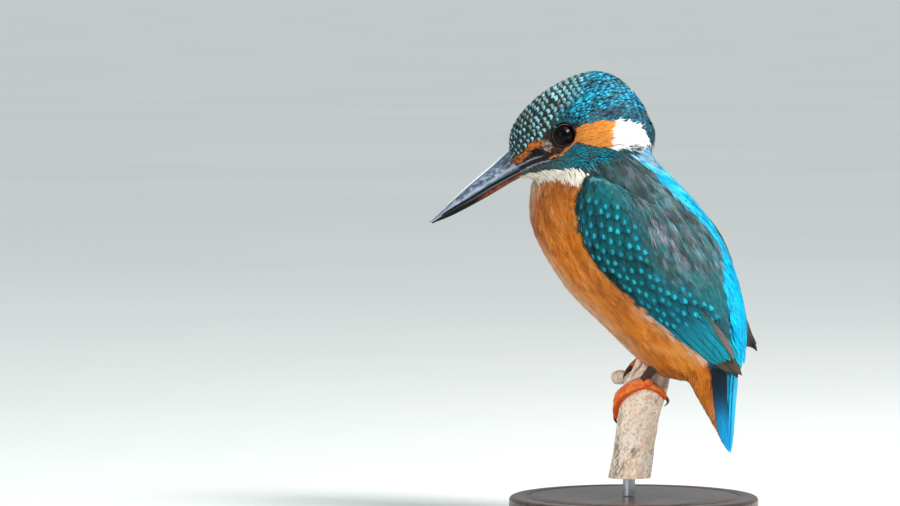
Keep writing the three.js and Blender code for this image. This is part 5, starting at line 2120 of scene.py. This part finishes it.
@dataclass
class Bill:
    """The closed dagger bill, an upper and a lower half along the head's axes.

    Each profile runs from the tip to the base, as (towards the nape, value) keys.
    """

    materials: Materials
    culmen: tuple = ((-56.6, -9.1), (-48, -5.6), (-39.7, -2.5), (-31.7, 0), (-23.6, 3.2), (-14, 5))
    tomium: tuple = ((-56.6, -9.4), (-48.8, -7.8), (-41.5, -7), (-34, -5.7), (-24, -4.7), (-14, -4))
    gonys: tuple = ((-56, -9.7), (-49.7, -9.9), (-42.5, -9.4), (-35.3, -8.6), (-27, -7.4), (-14, -6.4))
    breadth: tuple = ((-56.6, 0.35), (-50, 1.15), (-42, 2.1), (-34, 3), (-26, 4.1), (-14, 5.4))
    slit: float = 0.12
    tongue: float = 0.32
    base: float = -15.0
    steps: int = 110
    half: int = 14
    roof: int = 5
    nostril: tuple[float, float] = (-24.6, 0.42)

    def _profile(self, keys: tuple, places: Array) -> Array:
        """Reads a profile with its corners eased."""
        spread = np.linspace(-2.2, 2.2, 9)
        return np.mean([curve(*keys)(places + shift) for shift in spread], axis=0)

    def build(self) -> None:
        """Builds both halves."""
        self._upper()
        self._lower()

    def _rings(
        self, places: Array, rim: Array, ridge: Array, narrow: float, levels: Array, sign: Array, wide: Array
    ) -> tuple[Array, Array, Array, Array]:
        """Lays the rings of one half, hollow between its rims.

        Args:
            places: Where the rings lie along the bill.
            rim: The height of the cutting edge at each ring.
            ridge: The height of the ridge at each ring.
            narrow: The share of the bill's breadth that this half has.
            levels: How far each point of a ring lies from the rim at 0 to the ridge at 1.
            sign: Which side each lies on, from 1 for the left to -1.
            wide: The share of the breadth at each.

        Returns:
            Each point's place to the side, to the rear and upwards, and its level.
        """
        broad = self._profile(self.breadth, places) * narrow
        side = (broad[:, None] * (wide * sign)[None]).ravel()
        hollow = np.tile(np.abs(sign) < 0.7, len(places)) * (broad.repeat(len(sign)) > 0.8)
        rise = (rim[:, None] + (ridge - rim)[:, None] * levels[None]).ravel() + self.tongue * hollow
        return side, np.repeat(places, len(sign)), rise, np.tile(np.clip(levels, 0, 1), len(places))

    def _upper(self) -> None:
        """Builds the upper half, with its ridge, nostril and rim."""
        places = np.linspace(self.culmen[0][0], self.base, self.steps)
        rim, ridge = self._profile(self.tomium, places) + self.slit, self._profile(self.culmen, places)
        up = np.linspace(0, 1, self.half)
        levels = np.concatenate([up[::-1], np.full(self.roof, -0.02), up])
        sign = np.repeat([1.0, 0.0, -1.0], (self.half, self.roof, self.half))
        sign[self.half : self.half + self.roof] = np.linspace(0.9, -0.9, self.roof)
        wide = 0.12 + 0.88 * (1 - np.clip(levels, 0, 1) ** 1.5) ** 0.9
        side, rear, rise, level = self._rings(places, rim, ridge, 1.0, levels, sign, wide)
        lean = self.nostril[1] + 0.03 * (rear + 24)
        gap = np.hypot((rear - self.nostril[0]) / 2.6, (level - lean) / 0.075)
        side = side * (1 - 0.06 * ramp(gap, 1.1, 0.3))
        points = HEAD.world(np.column_stack([side, rear, rise]))
        long_grain = cloud(np.column_stack([rear * 0.3, level * 11, np.sign(side) * 3]), 1.0, 33)
        hatch = cloud(np.column_stack([rear * 1.1, level * 26, np.sign(side) * 3]), 1.0, 37)
        blotch = ramp(long_grain, 0.46, 0.58) * near(level, 0.54, 0.25, 0.12) * near(rear, -35, 15, 10)
        tone = layered(
            shades((140, 156, 176), (96, 112, 134), ramp(cloud(points, 0.9, 31), 0.3, 0.7)),
            ((156, 164, 186), 0.8 * near(level, 0.26, 0.12, 0.04)),
            ((26, 32, 38), ramp(level, 0.14, 0.05)),
            ((36, 52, 70), 0.85 * blotch),
            ((28, 44, 62), 0.7 * ramp(hatch, 0.58, 0.72) * near(level, 0.5, 0.3, 0.2)),
            ((22, 32, 44), 0.9 * near(level, 0.83, 0.07, 0.03)),
            # Painted highlight: a near-white line along the ridge.
            ((222, 230, 236), ramp(level, 0.87, 0.93)),
            ((60, 50, 46), 0.5 * ramp(rear, -22, -18) * ramp(level, 0.9, 0.6)),
            ((150, 62, 26), 0.5 * ramp(gap, 1.6, 1.2) * ramp(level, 0.46, 0.3)),
            ((14, 12, 12), ramp(gap, 1.15, 0.75)),
        )
        self._close("bill_upper", points, tone, 0.4)

    def _lower(self) -> None:
        """Builds the lower half, black with an orange strip at its base."""
        places = np.linspace(self.gonys[0][0], self.base, self.steps)
        rim, ridge = self._profile(self.tomium, places) - self.slit, self._profile(self.gonys, places)
        up = np.linspace(0, 1, self.half)
        levels = np.concatenate([up, np.linspace(1, 0, self.half), np.zeros(self.roof)])
        sign = np.repeat([1.0, -1.0, 0.0], (self.half, self.half, self.roof))
        sign[2 * self.half :] = np.linspace(-0.9, 0.9, self.roof)
        wide = 0.06 + 0.94 * (1 - levels**2) ** 0.6
        side, rear, rise, level = self._rings(places, rim, ridge, 0.9, levels, sign, wide)
        points = HEAD.world(np.column_stack([side, rear, rise]))
        strip = ramp(rear, -41, -34) * near(level, 0.66, 0.2, 0.08)
        tone = layered(
            shades((5, 4, 4), (14, 13, 14), cloud(points, 1.4, 35)),
            ((52, 72, 80), 0.7 * near(level, 0.16, 0.1, 0.04)),
            # Painted highlight: a lavender line just below the rim, towards the base.
            ((136, 140, 160), 0.8 * near(level, 0.3, 0.08, 0.03) * ramp(rear, -48, -30)),
            ((178, 70, 16), 0.95 * strip),
            ((70, 28, 12), 0.8 * strip * ramp(cloud(points, 0.8, 36), 0.35, 0.65)),
            ((48, 36, 32), 0.7 * ramp(level, 0.86, 0.96)),
        )
        self._close("bill_lower", points, tone, 0.14)

    def _close(self, node: str, points: Array, tone: Array, gloss: float) -> None:
        """Skins the rings of the half that stands for a node, paints it and dresses it.

        Args:
            node: The node's name.
            points: The rings' points.
            tone: The colour at each.
            gloss: How strongly the horn shines.
        """
        around = 2 * self.half + self.roof
        finish = SolidFinish(
            f"{node}_horn", (110, 120, 132), (90, 98, 110), roughness=0.38, roughness_spread=0.2,
            grain_scale=2600, bump=0.12, coat=0.3 * gloss, cloud_scale=600, specular=gloss,
        )
        tone = np.vstack([tone, tone[:around].mean(0), tone[-around:].mean(0)])
        shape = loft(np.split(points, self.steps))
        closed_piece(finish.name, shape, self.materials.solid(finish, painted=True), node, node, tone=tone)


@dataclass
class Eyes:
    """The dark eyes, with their irises and rims of bare skin."""

    materials: Materials
    radius: float = 3.6
    rim: float = 0.36
    rim_out: float = 11.55
    rim_back: float = 3.75
    rim_up: float = 3.35

    def build(self) -> None:
        """Builds both eyes and both rims."""
        wet = SolidFinish(
            "wet_eye", (9, 7, 7), (16, 11, 10), roughness=0.04, roughness_spread=0.0, bump=0.0, coat=0.0,
            cloud_scale=900, specular=0.09,
        )
        lid = SolidFinish(
            "eye_rim_skin", (44, 34, 32), (84, 62, 54), cloud_scale=1600, roughness=0.55, bump=0.5
        )
        eye_material, rim_material = self.materials.solid(wet, painted=True), self.materials.solid(lid)
        for side, name in ((1, "left"), (-1, "right")):
            self._ball(side, name, eye_material)
            self._rim(side, name, rim_material)

    def _ball(self, side: int, name: str, material: bpy.types.Material) -> None:
        """Builds one eyeball, bulged a little in front, with its iris.

        Args:
            side: 1 for the left eye and -1 for the right.
            name: The eye's name.
            material: Its material.
        """
        centre = EYE_PLACE * (side, 1, 1)
        turn = turns(64)
        circle = np.column_stack([0 * turn, np.cos(turn), np.sin(turn)])
        rings = []
        for angle in np.linspace(0, math.pi, 42)[1:-1]:
            bulge = 1 + 0.035 * ramp(angle, 0.62, 0.35)
            ring = (side * math.cos(angle), 0, 0) + math.sin(angle) * circle
            rings.append(HEAD.world(centre + ring * self.radius * bulge))
        shape = loft(rings)
        outward = (HEAD.local(shape[0]) - centre) @ np.array([side, 0, 0]) / self.radius
        iris = ramp(outward, 0.62, 0.70) * ramp(outward, 0.93, 0.86)
        tone = shades((3, 3, 3), (13, 7, 5), iris)
        closed_piece(f"eye_{name}_ball", shape, material, "eye", f"eye_{name}", tone=tone)

    def _rim(self, side: int, name: str, material: bpy.types.Material) -> None:
        """Builds the beaded rim round one eye.

        Args:
            side: 1 for the left eye and -1 for the right.
            name: The eye's name.
            material: Its material.
        """
        bend = turns(12)
        rings = []
        for angle in turns(96):
            back, up = math.cos(angle), math.sin(angle)
            place = np.array(
                [
                    side * (self.rim_out - 0.35 * back**2),
                    EYE_PLACE[1] + self.rim_back * back * (1 + 0.06 * back),
                    EYE_PLACE[2] + self.rim_up * up,
                ]
            )
            offsets = np.outer(np.cos(bend), (0, back, up)) * 0.55 + np.outer(np.sin(bend), (side, 0, 0))
            rings.append(HEAD.world(place + offsets * self.rim * (1 + 0.12 * math.sin(angle * 22))))
        closed_piece(f"eye_rim_{name}", loft([*rings, rings[0]], closed_ends=False), material, "eye")


@dataclass
class Perch:
    """The cut length of pale branch, with its broken top and its twig."""

    materials: Materials
    foot: float = 14.0
    head: float = 56.0
    radius: float = 6.8
    heading: float = 63.0
    broken: tuple[float, float, float] = (41.0, 0.25, 1.0)
    twig_height: float = 45.8
    twig_reach: float = 14.4
    lean: tuple = ((14, -1.5), (31, 1), (39, 2.9), (48, 5.2), (58, 7.4))
    rings: int = 230
    around: int = 150

    def axis(self, height: Array | float) -> Array:
        """Gives the middle of the branch at a height.

        Args:
            height: One height or many.

        Returns:
            The place of the middle at each.
        """
        lean = curve(*self.lean)(height)
        heading = math.radians(self.heading)
        back = self.broken[2] * ramp(height, self.broken[0], self.head)
        ahead, aside = math.sin(heading) * lean + back, -math.cos(heading) * lean
        return np.stack([aside, ahead, np.asarray(height, float)], -1)

    def bark(self, height: Array | float, angle: Array | float) -> Array:
        """Gives the branch's radius at a height and an angle.

        Args:
            height: One height or many.
            angle: The angle of each, in radians.

        Returns:
            The radius at each.
        """
        ridges = 0.22 * np.sin(3 * angle + height * 0.11) + 0.14 * np.sin(7 * angle - height * 0.23)
        reach = self.radius + ridges + 0.25 * np.sin(height * 0.19) + 0.5 * ramp(height, 34, 44)
        return reach * (1 - self.broken[1] * ramp(height, self.broken[0], self.head))

    def on_bark(self, height: float, degrees: float, lift: float) -> Array:
        """Gives a place on the bark, raised by lift.

        Args:
            height: The height.
            degrees: How far round the branch.
            lift: How far off the bark.

        Returns:
            The place in the frame.
        """
        angle = -math.radians(degrees)
        reach = float(self.bark(height, angle)) + lift
        return self.axis(height) + np.array([math.cos(angle) * reach, math.sin(angle) * reach, 0])

    def build(self) -> None:
        """Builds the branch and the twig."""
        heights = np.linspace(self.foot, self.head, self.rings)
        angles = turns(self.around)
        height, angle = (grid.ravel() for grid in np.meshgrid(heights, angles, indexing="ij"))
        broken = ramp(height, self.broken[0], self.head)
        skin = np.column_stack([np.cos(angle) * 7, np.sin(angle) * 7, height])
        crack_angle = math.radians(-32) + 0.12 * np.sin(height * 0.9)
        crack = near(angle_gap(angle, crack_angle), 0, 0.17, 0.05)
        crack = crack * ramp(height, 46, 49) * ramp(height, 54, 52)
        plates, fine = cloud(skin * (1, 1, 0.45), 2.2, 41), cloud(skin * (1, 1, 0.6), 0.7, 42)
        flakes = ramp(cloud(skin * (1, 1, 0.3), 1.2, 43), 0.6, 0.75)
        lift = 0.22 * (plates - 0.5) + 0.12 * (fine - 0.5) + 0.1 * flakes
        lift = lift - 0.9 * crack + 0.5 * broken * (cloud(skin, 3.0, 44) - 0.5)
        reach = self.bark(height, angle) - 0.12 + lift
        points = self.axis(height)
        points = points + np.column_stack([np.cos(angle) * reach, np.sin(angle) * reach, 0 * reach])
        points[:, 2] += ramp(height, 54, 56) * 0.8 * (cloud(skin, 1.5, 45) - 0.8)
        # Painted shadow: the bark round 1.35 radians is darkened from a height of about 42 mm up, where the
        # belly shades it.
        belly_shadow = near(angle_gap(angle, 1.35), 0, 1.0, 0.6) * ramp(height, 41.5, 43.5)
        knot = np.hypot(angle_gap(angle, math.radians(-30)) * 7, (height - 33.5) * 0.8) + 1.2 * (fine - 0.5)
        tone = layered(
            self._tone(skin, plates, fine),
            ((34, 28, 22), crack),
            # The painted shadow of the belly.
            ((74, 60, 44), 0.95 * belly_shadow * (0.6 + 0.4 * ramp(plates, 0.2, 0.5))),
            ((176, 142, 112), 0.7 * ramp(height, 54.5, 55.6)),
            ((150, 138, 120), 0.7 * ramp(knot, 1.7, 0.7)),
            ((92, 74, 60), 0.8 * near(knot, 1.1, 0.35, 0.05) * ramp(plates, 0.35, 0.55)),
        )
        tone = np.vstack([tone, tone[: self.around].mean(0), linear(190, 160, 130)])
        finish = SolidFinish(
            "pale_bark", (250, 230, 210), (236, 212, 190), fleck=(140, 108, 88), fleck_amount=0.3,
            fleck_scale=2400, cloud_scale=900, roughness=0.85, grain_scale=1500, bump=0.9,
            stretch=(1, 1, 0.4),
        )
        material = self.materials.solid(finish, painted=True)
        shape = loft(np.split(points, self.rings))
        closed_piece("perch_bark", shape, material, "bark", "perch_branch", tone=tone, share=0.75)
        self._twig(material)

    def _tone(self, skin: Array, plates: Array, fine: Array) -> Array:
        """Colours the bark: cream and pink, with grey-brown speckles.

        Args:
            skin: Places on the bark.
            plates: The noise of its plates.
            fine: The noise of its grain.

        Returns:
            The tone at each place.
        """
        grain = cloud(skin * (1, 1, 0.7), 0.5, 47)
        rough = cloud(skin * (1, 1, 0.6), 3.4, 49) + 0.35 * (cloud(skin, 1.2, 50) - 0.5)
        rough = rough - 0.08 * ramp(skin[:, 2], 28, 38)
        return layered(
            shades((255, 242, 224), (246, 218, 194), ramp(plates, 0.35, 0.75)),
            ((220, 180, 150), 0.6 * ramp(fine, 0.58, 0.8)),
            ((190, 140, 104), 0.7 * ramp(grain, 0.6, 0.78)),
            ((156, 134, 132), 0.5 * ramp(cloud(skin * (1, 1, 0.8), 0.36, 46), 0.62, 0.82)),
            ((136, 112, 98), 0.8 * ramp(rough, 0.6, 0.72) * ramp(grain, 0.25, 0.6)),
            ((88, 68, 58), 0.8 * ramp(rough, 0.66, 0.76) * ramp(grain, 0.55, 0.7)),
        )

    def _twig(self, material: bpy.types.Material) -> None:
        """Builds the short side twig with its swollen, broken end.

        Args:
            material: The bark's material.
        """
        around = 40
        towards = unit(np.array([-0.42, -0.9, -0.05]))
        share = np.linspace(0, 1, 60)
        reach = self.radius * 0.4 + share[:, None] * self.twig_reach
        path = self.axis(self.twig_height) + towards * reach
        path[:, 2] += 0.5 * np.sin(share * math.pi)
        radius = curve((0, 1.7), (0.55, 1.6), (0.8, 2.4), (0.95, 2.1), (1, 1.0))(share)
        points, faces = loft(limb_rings(path, radius, around))
        bumps = cloud(points, 1.1, 51) - 0.5
        away = np.vstack([points[:-2] - np.repeat(path, around, axis=0), np.zeros((2, 3))])
        points = points + unit(away) * (0.22 * bumps[:, None])
        tone = self._tone(points, cloud(points, 1.6, 52), cloud(points, 0.6, 53))
        tone = mix(tone, linear(168, 134, 106), 0.35)
        shape = points, faces
        closed_piece("perch_twig_bark", shape, material, "bark", "perch_twig", tone=tone, share=0.88)


@dataclass(frozen=True)
class Toe:
    """One toe: its run round the branch from the heel in degrees, its drop and where it starts."""

    sweep: float
    drop: float
    start: float


@dataclass(frozen=True)
class Grip:
    """Where one foot holds the branch, how far its toes wrap and droop, and which way they turn."""

    name: str
    height: float
    angle: float
    wrap: float
    droop: float
    direction: int


@dataclass
class Feet:
    """The two small feet: three toes forward, the outer and middle joined at their base, and one behind."""

    perch: Perch
    materials: Materials
    toe_radius: float = 1.18
    leg_radius: float = 1.35
    claw_radius: float = 0.62
    toe_rings: int = 64
    toe_points: int = 22
    toes: tuple[Toe, ...] = (Toe(108, 11, 0.9), Toe(113, 9.8, 2), Toe(100, 7.6, 3), Toe(-56, 3.8, 0.6))
    inner_toe: int = 2
    grips: tuple[Grip, ...] = (
        Grip("left", 43.5, -24.0, 1.0, 1.0, 1),
        Grip("right", 51.8, 192.0, 0.98, 0.35, -1),
    )

    def build(self) -> None:
        """Builds both feet with their claws and legs."""
        scales = SolidFinish(
            "toe_scales", (226, 108, 20), (190, 74, 14), cloud_scale=420, fleck=(120, 96, 110),
            fleck_amount=0.1, fleck_scale=1200, roughness=0.5, grain_scale=2400, bump=0.4, coat=0.05,
            specular=0.3,
        )
        horn = SolidFinish(
            "claw_horn", (40, 34, 34), (74, 62, 58), cloud_scale=900, roughness=0.3, coat=0.3
        )
        foot_material, claw_material = self.materials.solid(scales, painted=True), self.materials.solid(horn)
        for grip in self.grips:
            self._foot(grip, foot_material)
            claws = merge([loft(self._claw(grip, toe)) for toe in self.toes])
            closed_piece(f"claws_{grip.name}", claws, claw_material, "foot")
            self._leg(grip, foot_material)

    def _on_toe(
        self, grip: Grip, toe: Toe, share: float, lift: float, lower: float = 0.0, further: float = 0.0
    ) -> Array:
        """Gives a place along a toe.

        Args:
            grip: The foot.
            toe: The toe.
            share: How far along it, from the heel at 0 to the claw at 1.
            lift: How far off the bark.
            lower: How far below the toe's own run.
            further: How many degrees beyond it round the branch.

        Returns:
            The place in the frame.
        """
        up = grip.height + toe.start * (1 - 0.4 * share) - toe.drop * grip.droop * share**1.6 - lower
        turn = (toe.sweep * share + math.copysign(further, toe.sweep)) * grip.wrap * grip.direction
        return self.perch.on_bark(up, grip.angle + turn, lift)

    def _toe(self, grip: Grip, toe: Toe) -> list[Array]:
        """Makes the rings of one toe, with its pads and scutes.

        Args:
            grip: The foot.
            toe: The toe.

        Returns:
            The rings.
        """
        share = np.linspace(0, 1, self.toe_rings)
        path = [self._on_toe(grip, toe, s, self.toe_radius * (0.9 - 0.25 * s)) for s in share]
        thick = self.toe_radius * curve((0, 1.08), (0.3, 0.98), (0.85, 0.84), (1, 0.62))(share)
        pads = 1 + 0.05 * np.sin(share * math.tau * 3.2)
        scutes = 1 + 0.045 * np.abs(np.sin(share * math.pi * 11))
        return limb_rings(np.array(path), thick * pads * scutes, self.toe_points)

    def _claw(self, grip: Grip, toe: Toe) -> list[Array]:
        """Makes the rings of one claw, curved down to the bark.

        Args:
            grip: The foot.
            toe: The toe.

        Returns:
            The rings.
        """
        share = np.linspace(0, 1, 22)
        path = []
        for s in share:
            lift = self.toe_radius * 0.72 + 0.85 * math.sin(s * 3) - 0.5 * s
            path.append(self._on_toe(grip, toe, 0.95 + 0.06 * s, lift, 3.0 * s, 24 * s))
        return limb_rings(np.array(path), self.claw_radius * (1.1 - 0.95 * share**1.3), 16)

    def _foot(self, grip: Grip, material: bpy.types.Material) -> None:
        """Joins one foot's toes and sole and colours them.

        Args:
            grip: The foot.
            material: Its material.
        """
        turn = turns(22)
        heel = self.perch.on_bark(grip.height + 1.6, grip.angle, self.toe_radius + 0.5)
        sole = []
        for polar in np.linspace(0.08, math.pi - 0.08, 20):
            across = np.sin(polar)
            ring = np.column_stack([across * np.cos(turn), across * np.sin(turn), np.full(22, np.cos(polar))])
            sole.append(heel + 1.6 * ring)
        points, faces = merge([loft(rings) for rings in (*(self._toe(grip, toe) for toe in self.toes), sole)])
        foot = new_piece(f"toes_{grip.name}", points, faces)
        face_outwards(foot)
        normals = np.zeros(len(points) * 3, np.float32)
        foot.data.vertices.foreach_get("normal", normals)
        upward = normals.reshape(-1, 3)[:, 2]
        inner = np.arange(len(points)) // (self.toe_rings * self.toe_points + 2) == self.inner_toe
        # Painted light and shade: the upward faces get lighter orange highlights and a lavender-grey sky
        # light, most on the inner toe, and the downward faces a darker red shade.
        grey = np.where(inner, 0.85, 0.4) * ramp(upward, 0.1, 0.7) * ramp(cloud(points, 0.9, 62), 0.15, 0.5)
        tone = layered(
            shades((246, 126, 14), (226, 92, 6), ramp(cloud(points, 1.2, 61), 0.3, 0.7)),
            ((255, 172, 66), 0.6 * ramp(cloud(points, 0.8, 64), 0.6, 0.85) * ramp(upward, -0.3, 0.3)),
            ((150, 132, 140), grey),
            ((190, 62, 6), 0.8 * ramp(upward, -0.1, -0.7)),
        )
        paint(foot, "tone", with_alpha(tone, 0.9))
        settle(foot, material, "foot", f"foot_{grip.name}")

    def _leg(self, grip: Grip, material: bpy.types.Material) -> None:
        """Builds one short leg, up into the belly feathers.

        Args:
            grip: The foot below it.
            material: Its material.
        """
        around = 24
        angle = grip.angle + 12 * (grip.angle < 0)
        ankle = self.perch.on_bark(grip.height + 2.2, angle, self.toe_radius + 0.5)
        knee = np.array([ankle[0] * 0.35, ankle[1] + 9.5, ankle[2] + 11])
        share = np.linspace(0, 1, 50)[:, None]
        path = ankle + (knee - ankle) * share + np.array([0, -0.6, 0]) * np.sin(share * math.pi)
        scutes = 1 + 0.04 * np.abs(np.sin(share[:, 0] * math.pi * 9))
        shape = loft(limb_rings(path, self.leg_radius * (1 + 0.8 * share[:, 0]) * scutes, around))
        points = shape[0]
        beside = np.concatenate([np.repeat(path, around, axis=0), path[:1], path[-1:]])
        # Painted light and shade: the leg is coloured dark brown for the shade under the belly, with a
        # painted lavender rim of sky light along its upper side.
        lit = ramp(unit(points - beside) @ (0.1, -0.85, 0.5), 0.72, 0.9)
        tone = shades((66, 42, 24), (34, 24, 16), ramp(cloud(points, 1.0, 63), 0.3, 0.7))
        tone = mix(tone, linear(158, 150, 186), 0.85 * lit)
        name = grip.name
        closed_piece(f"tarsus_{name}", shape, material, "foot", f"leg_{name}", tone=tone, share=0.97)


# ---------------------------------------------------------------- stand and studio


@dataclass
class Stand:
    """The plain display stand: a turned wooden base and a steel rod."""

    materials: Materials
    radius: float = 40.0
    thickness: float = 8.0
    edge: float = 1.2
    around: int = 144

    def build(self) -> None:
        """Builds the base, and dresses the rod that the frame brings."""
        edge, top = self.edge, self.thickness
        bend = [(edge * math.sin(a), edge * math.cos(a)) for a in np.linspace(0, math.pi / 2, 8)]
        low = [(self.radius - edge + rise, edge - run) for rise, run in bend]
        high = [(self.radius - edge + run, top - edge + rise) for rise, run in bend]
        groove = [(34.6, top), (34.3, top - 0.3), (34.0, top - 0.45), (33.7, top - 0.3), (33.4, top)]
        inner = [(r, top) for r in (26, 16, 6)]
        turn = turns(self.around)
        rings = [
            np.column_stack([np.cos(turn) * r, np.sin(turn) * r, np.full(self.around, z)])
            for r, z in ((12, 0), (30, 0), *low, *high, *groove, *inner)
        ]
        wood = SolidFinish(
            "dark_wood", (74, 54, 44), (46, 33, 27), cloud_scale=90, fleck=(28, 20, 17), fleck_amount=0.35,
            fleck_scale=420, roughness=0.34, roughness_spread=0.12, grain_scale=700, bump=0.12, coat=0.25,
            stretch=(0.35, 4.0, 2.0),
        )
        closed_piece("stand_base_wood", loft(rings), self.materials.solid(wood), "stand_wood", "stand_base")
        steel = SolidFinish(
            "brushed_rod", (190, 192, 196), (168, 170, 175), cloud_scale=500, roughness=0.3, grain_scale=2600,
            bump=0.12, metallic=1.0, stretch=(1, 1, 12.0),
        )
        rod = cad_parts["stand_rod"]
        rod.data.materials.clear()
        rod.data.materials.append(self.materials.solid(steel))
        log.info("stand_rod: dressed")


@dataclass
class Studio:
    """The pale floor, the soft lights and the camera."""

    materials: Materials
    azimuth: float = 117.0
    elevation: float = 3.0
    distance: float = 1600.0
    lens: float = 200.0
    aside: float = -58.9
    height: float = 86.06
    floor_reach: float = 400000.0

    def build(self) -> None:
        """Builds the studio."""
        corners = np.array([(-1, -1, 0), (1, -1, 0), (1, 1, 0), (-1, 1, 0)]) * self.floor_reach
        floor = new_piece("floor", corners, [(0, 1, 2, 3)])
        pale = SolidFinish(
            "pale_floor", (226, 229, 226), (222, 226, 224), cloud_scale=2.0, roughness=0.7,
            roughness_spread=0.05, grain_scale=60, bump=0.02,
        )
        floor.data.materials.append(self.materials.solid(pale))
        turn, tilt = math.radians(self.azimuth), math.radians(self.elevation)
        back = np.array([math.sin(turn) * math.cos(tilt), -math.cos(turn) * math.cos(tilt), math.sin(tilt)])
        right = np.array([math.cos(turn), math.sin(turn), 0])
        up = np.cross(back, right)
        target = right * self.aside + np.array([0, 0, self.height])
        data = bpy.data.cameras.new("camera")
        data.lens, data.sensor_width = self.lens, 36.0
        data.clip_start, data.clip_end = 0.05, 2000.0
        camera = linked("camera", data)
        place = (target + back * self.distance) * MM
        camera.matrix_world = Matrix(
            [[*map(float, row), float(spot)] for row, spot in zip(np.column_stack([right, up, back]), place)]
            + [[0, 0, 0, 1]]
        )
        bpy.context.scene.camera = camera
        self._light("key", back * 0.55 + up * 1.0 + right * 0.75, 0.9, 0.28, 10.5, (1.0, 0.98, 0.95))
        self._light("fill", back * 0.9 + up * 0.3 - right * 0.9, 1.3, 0.8, 5.0, (0.96, 0.98, 1.0))
        sky = bpy.data.lights.new("soft sun", "SUN")
        sky.energy, sky.angle = 1.3, math.radians(50)
        towards = Vector(unit(back * 0.35 + up * 1.0 + right * 0.5))
        linked("soft sun", sky).rotation_euler = towards.to_track_quat("Z", "Y").to_euler()
        world = bpy.data.worlds.new("soft light")
        world.use_nodes = True
        background = world.node_tree.nodes["Background"]
        background.inputs["Color"].default_value = (0.86, 0.93, 0.97, 1)
        background.inputs["Strength"].default_value = 0.45
        bpy.context.scene.world = world
        bpy.context.scene.view_settings.view_transform = "Standard"

    def _light(
        self, name: str, towards: Array, reach: float, size: float, power: float, colour: Colour
    ) -> None:
        """Hangs one soft light that faces the bird.

        Args:
            name: The light's name.
            towards: The direction in which it hangs.
            reach: How far off, in metres.
            size: The width of its square, in metres.
            power: Its power in watts.
            colour: Its colour.
        """
        data = bpy.data.lights.new(name, "AREA")
        data.energy, data.size, data.color = power, size, colour
        lamp = linked(name, data)
        direction = Vector(unit(towards))
        lamp.location = direction * reach + Vector((0, 0, 0.09))
        lamp.rotation_euler = direction.to_track_quat("Z", "Y").to_euler()


def main() -> None:
    """Builds the model and the studio."""
    logging.basicConfig(level=logging.INFO, format="%(message)s")
    materials = Materials()
    Studio(materials).build()
    plumage = Plumage()
    skin = Skin(plumage)
    hide = skin.build()
    settle(hide, materials.skin("bird_skin"), "breast_plumage", *skin.nodes)
    coat = Coat(skin, plumage, materials, np.random.default_rng(7))
    coat.prepare()
    for tract in TRACTS:
        coat.lay(tract)
    FlightFeathers(coat).build()
    TailFeathers(coat).build()
    Bill(materials).build()
    Eyes(materials).build()
    perch = Perch(materials)
    perch.build()
    Feet(perch, materials).build()
    Stand(materials).build()
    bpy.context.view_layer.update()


if __name__ == "__main__":
    main()
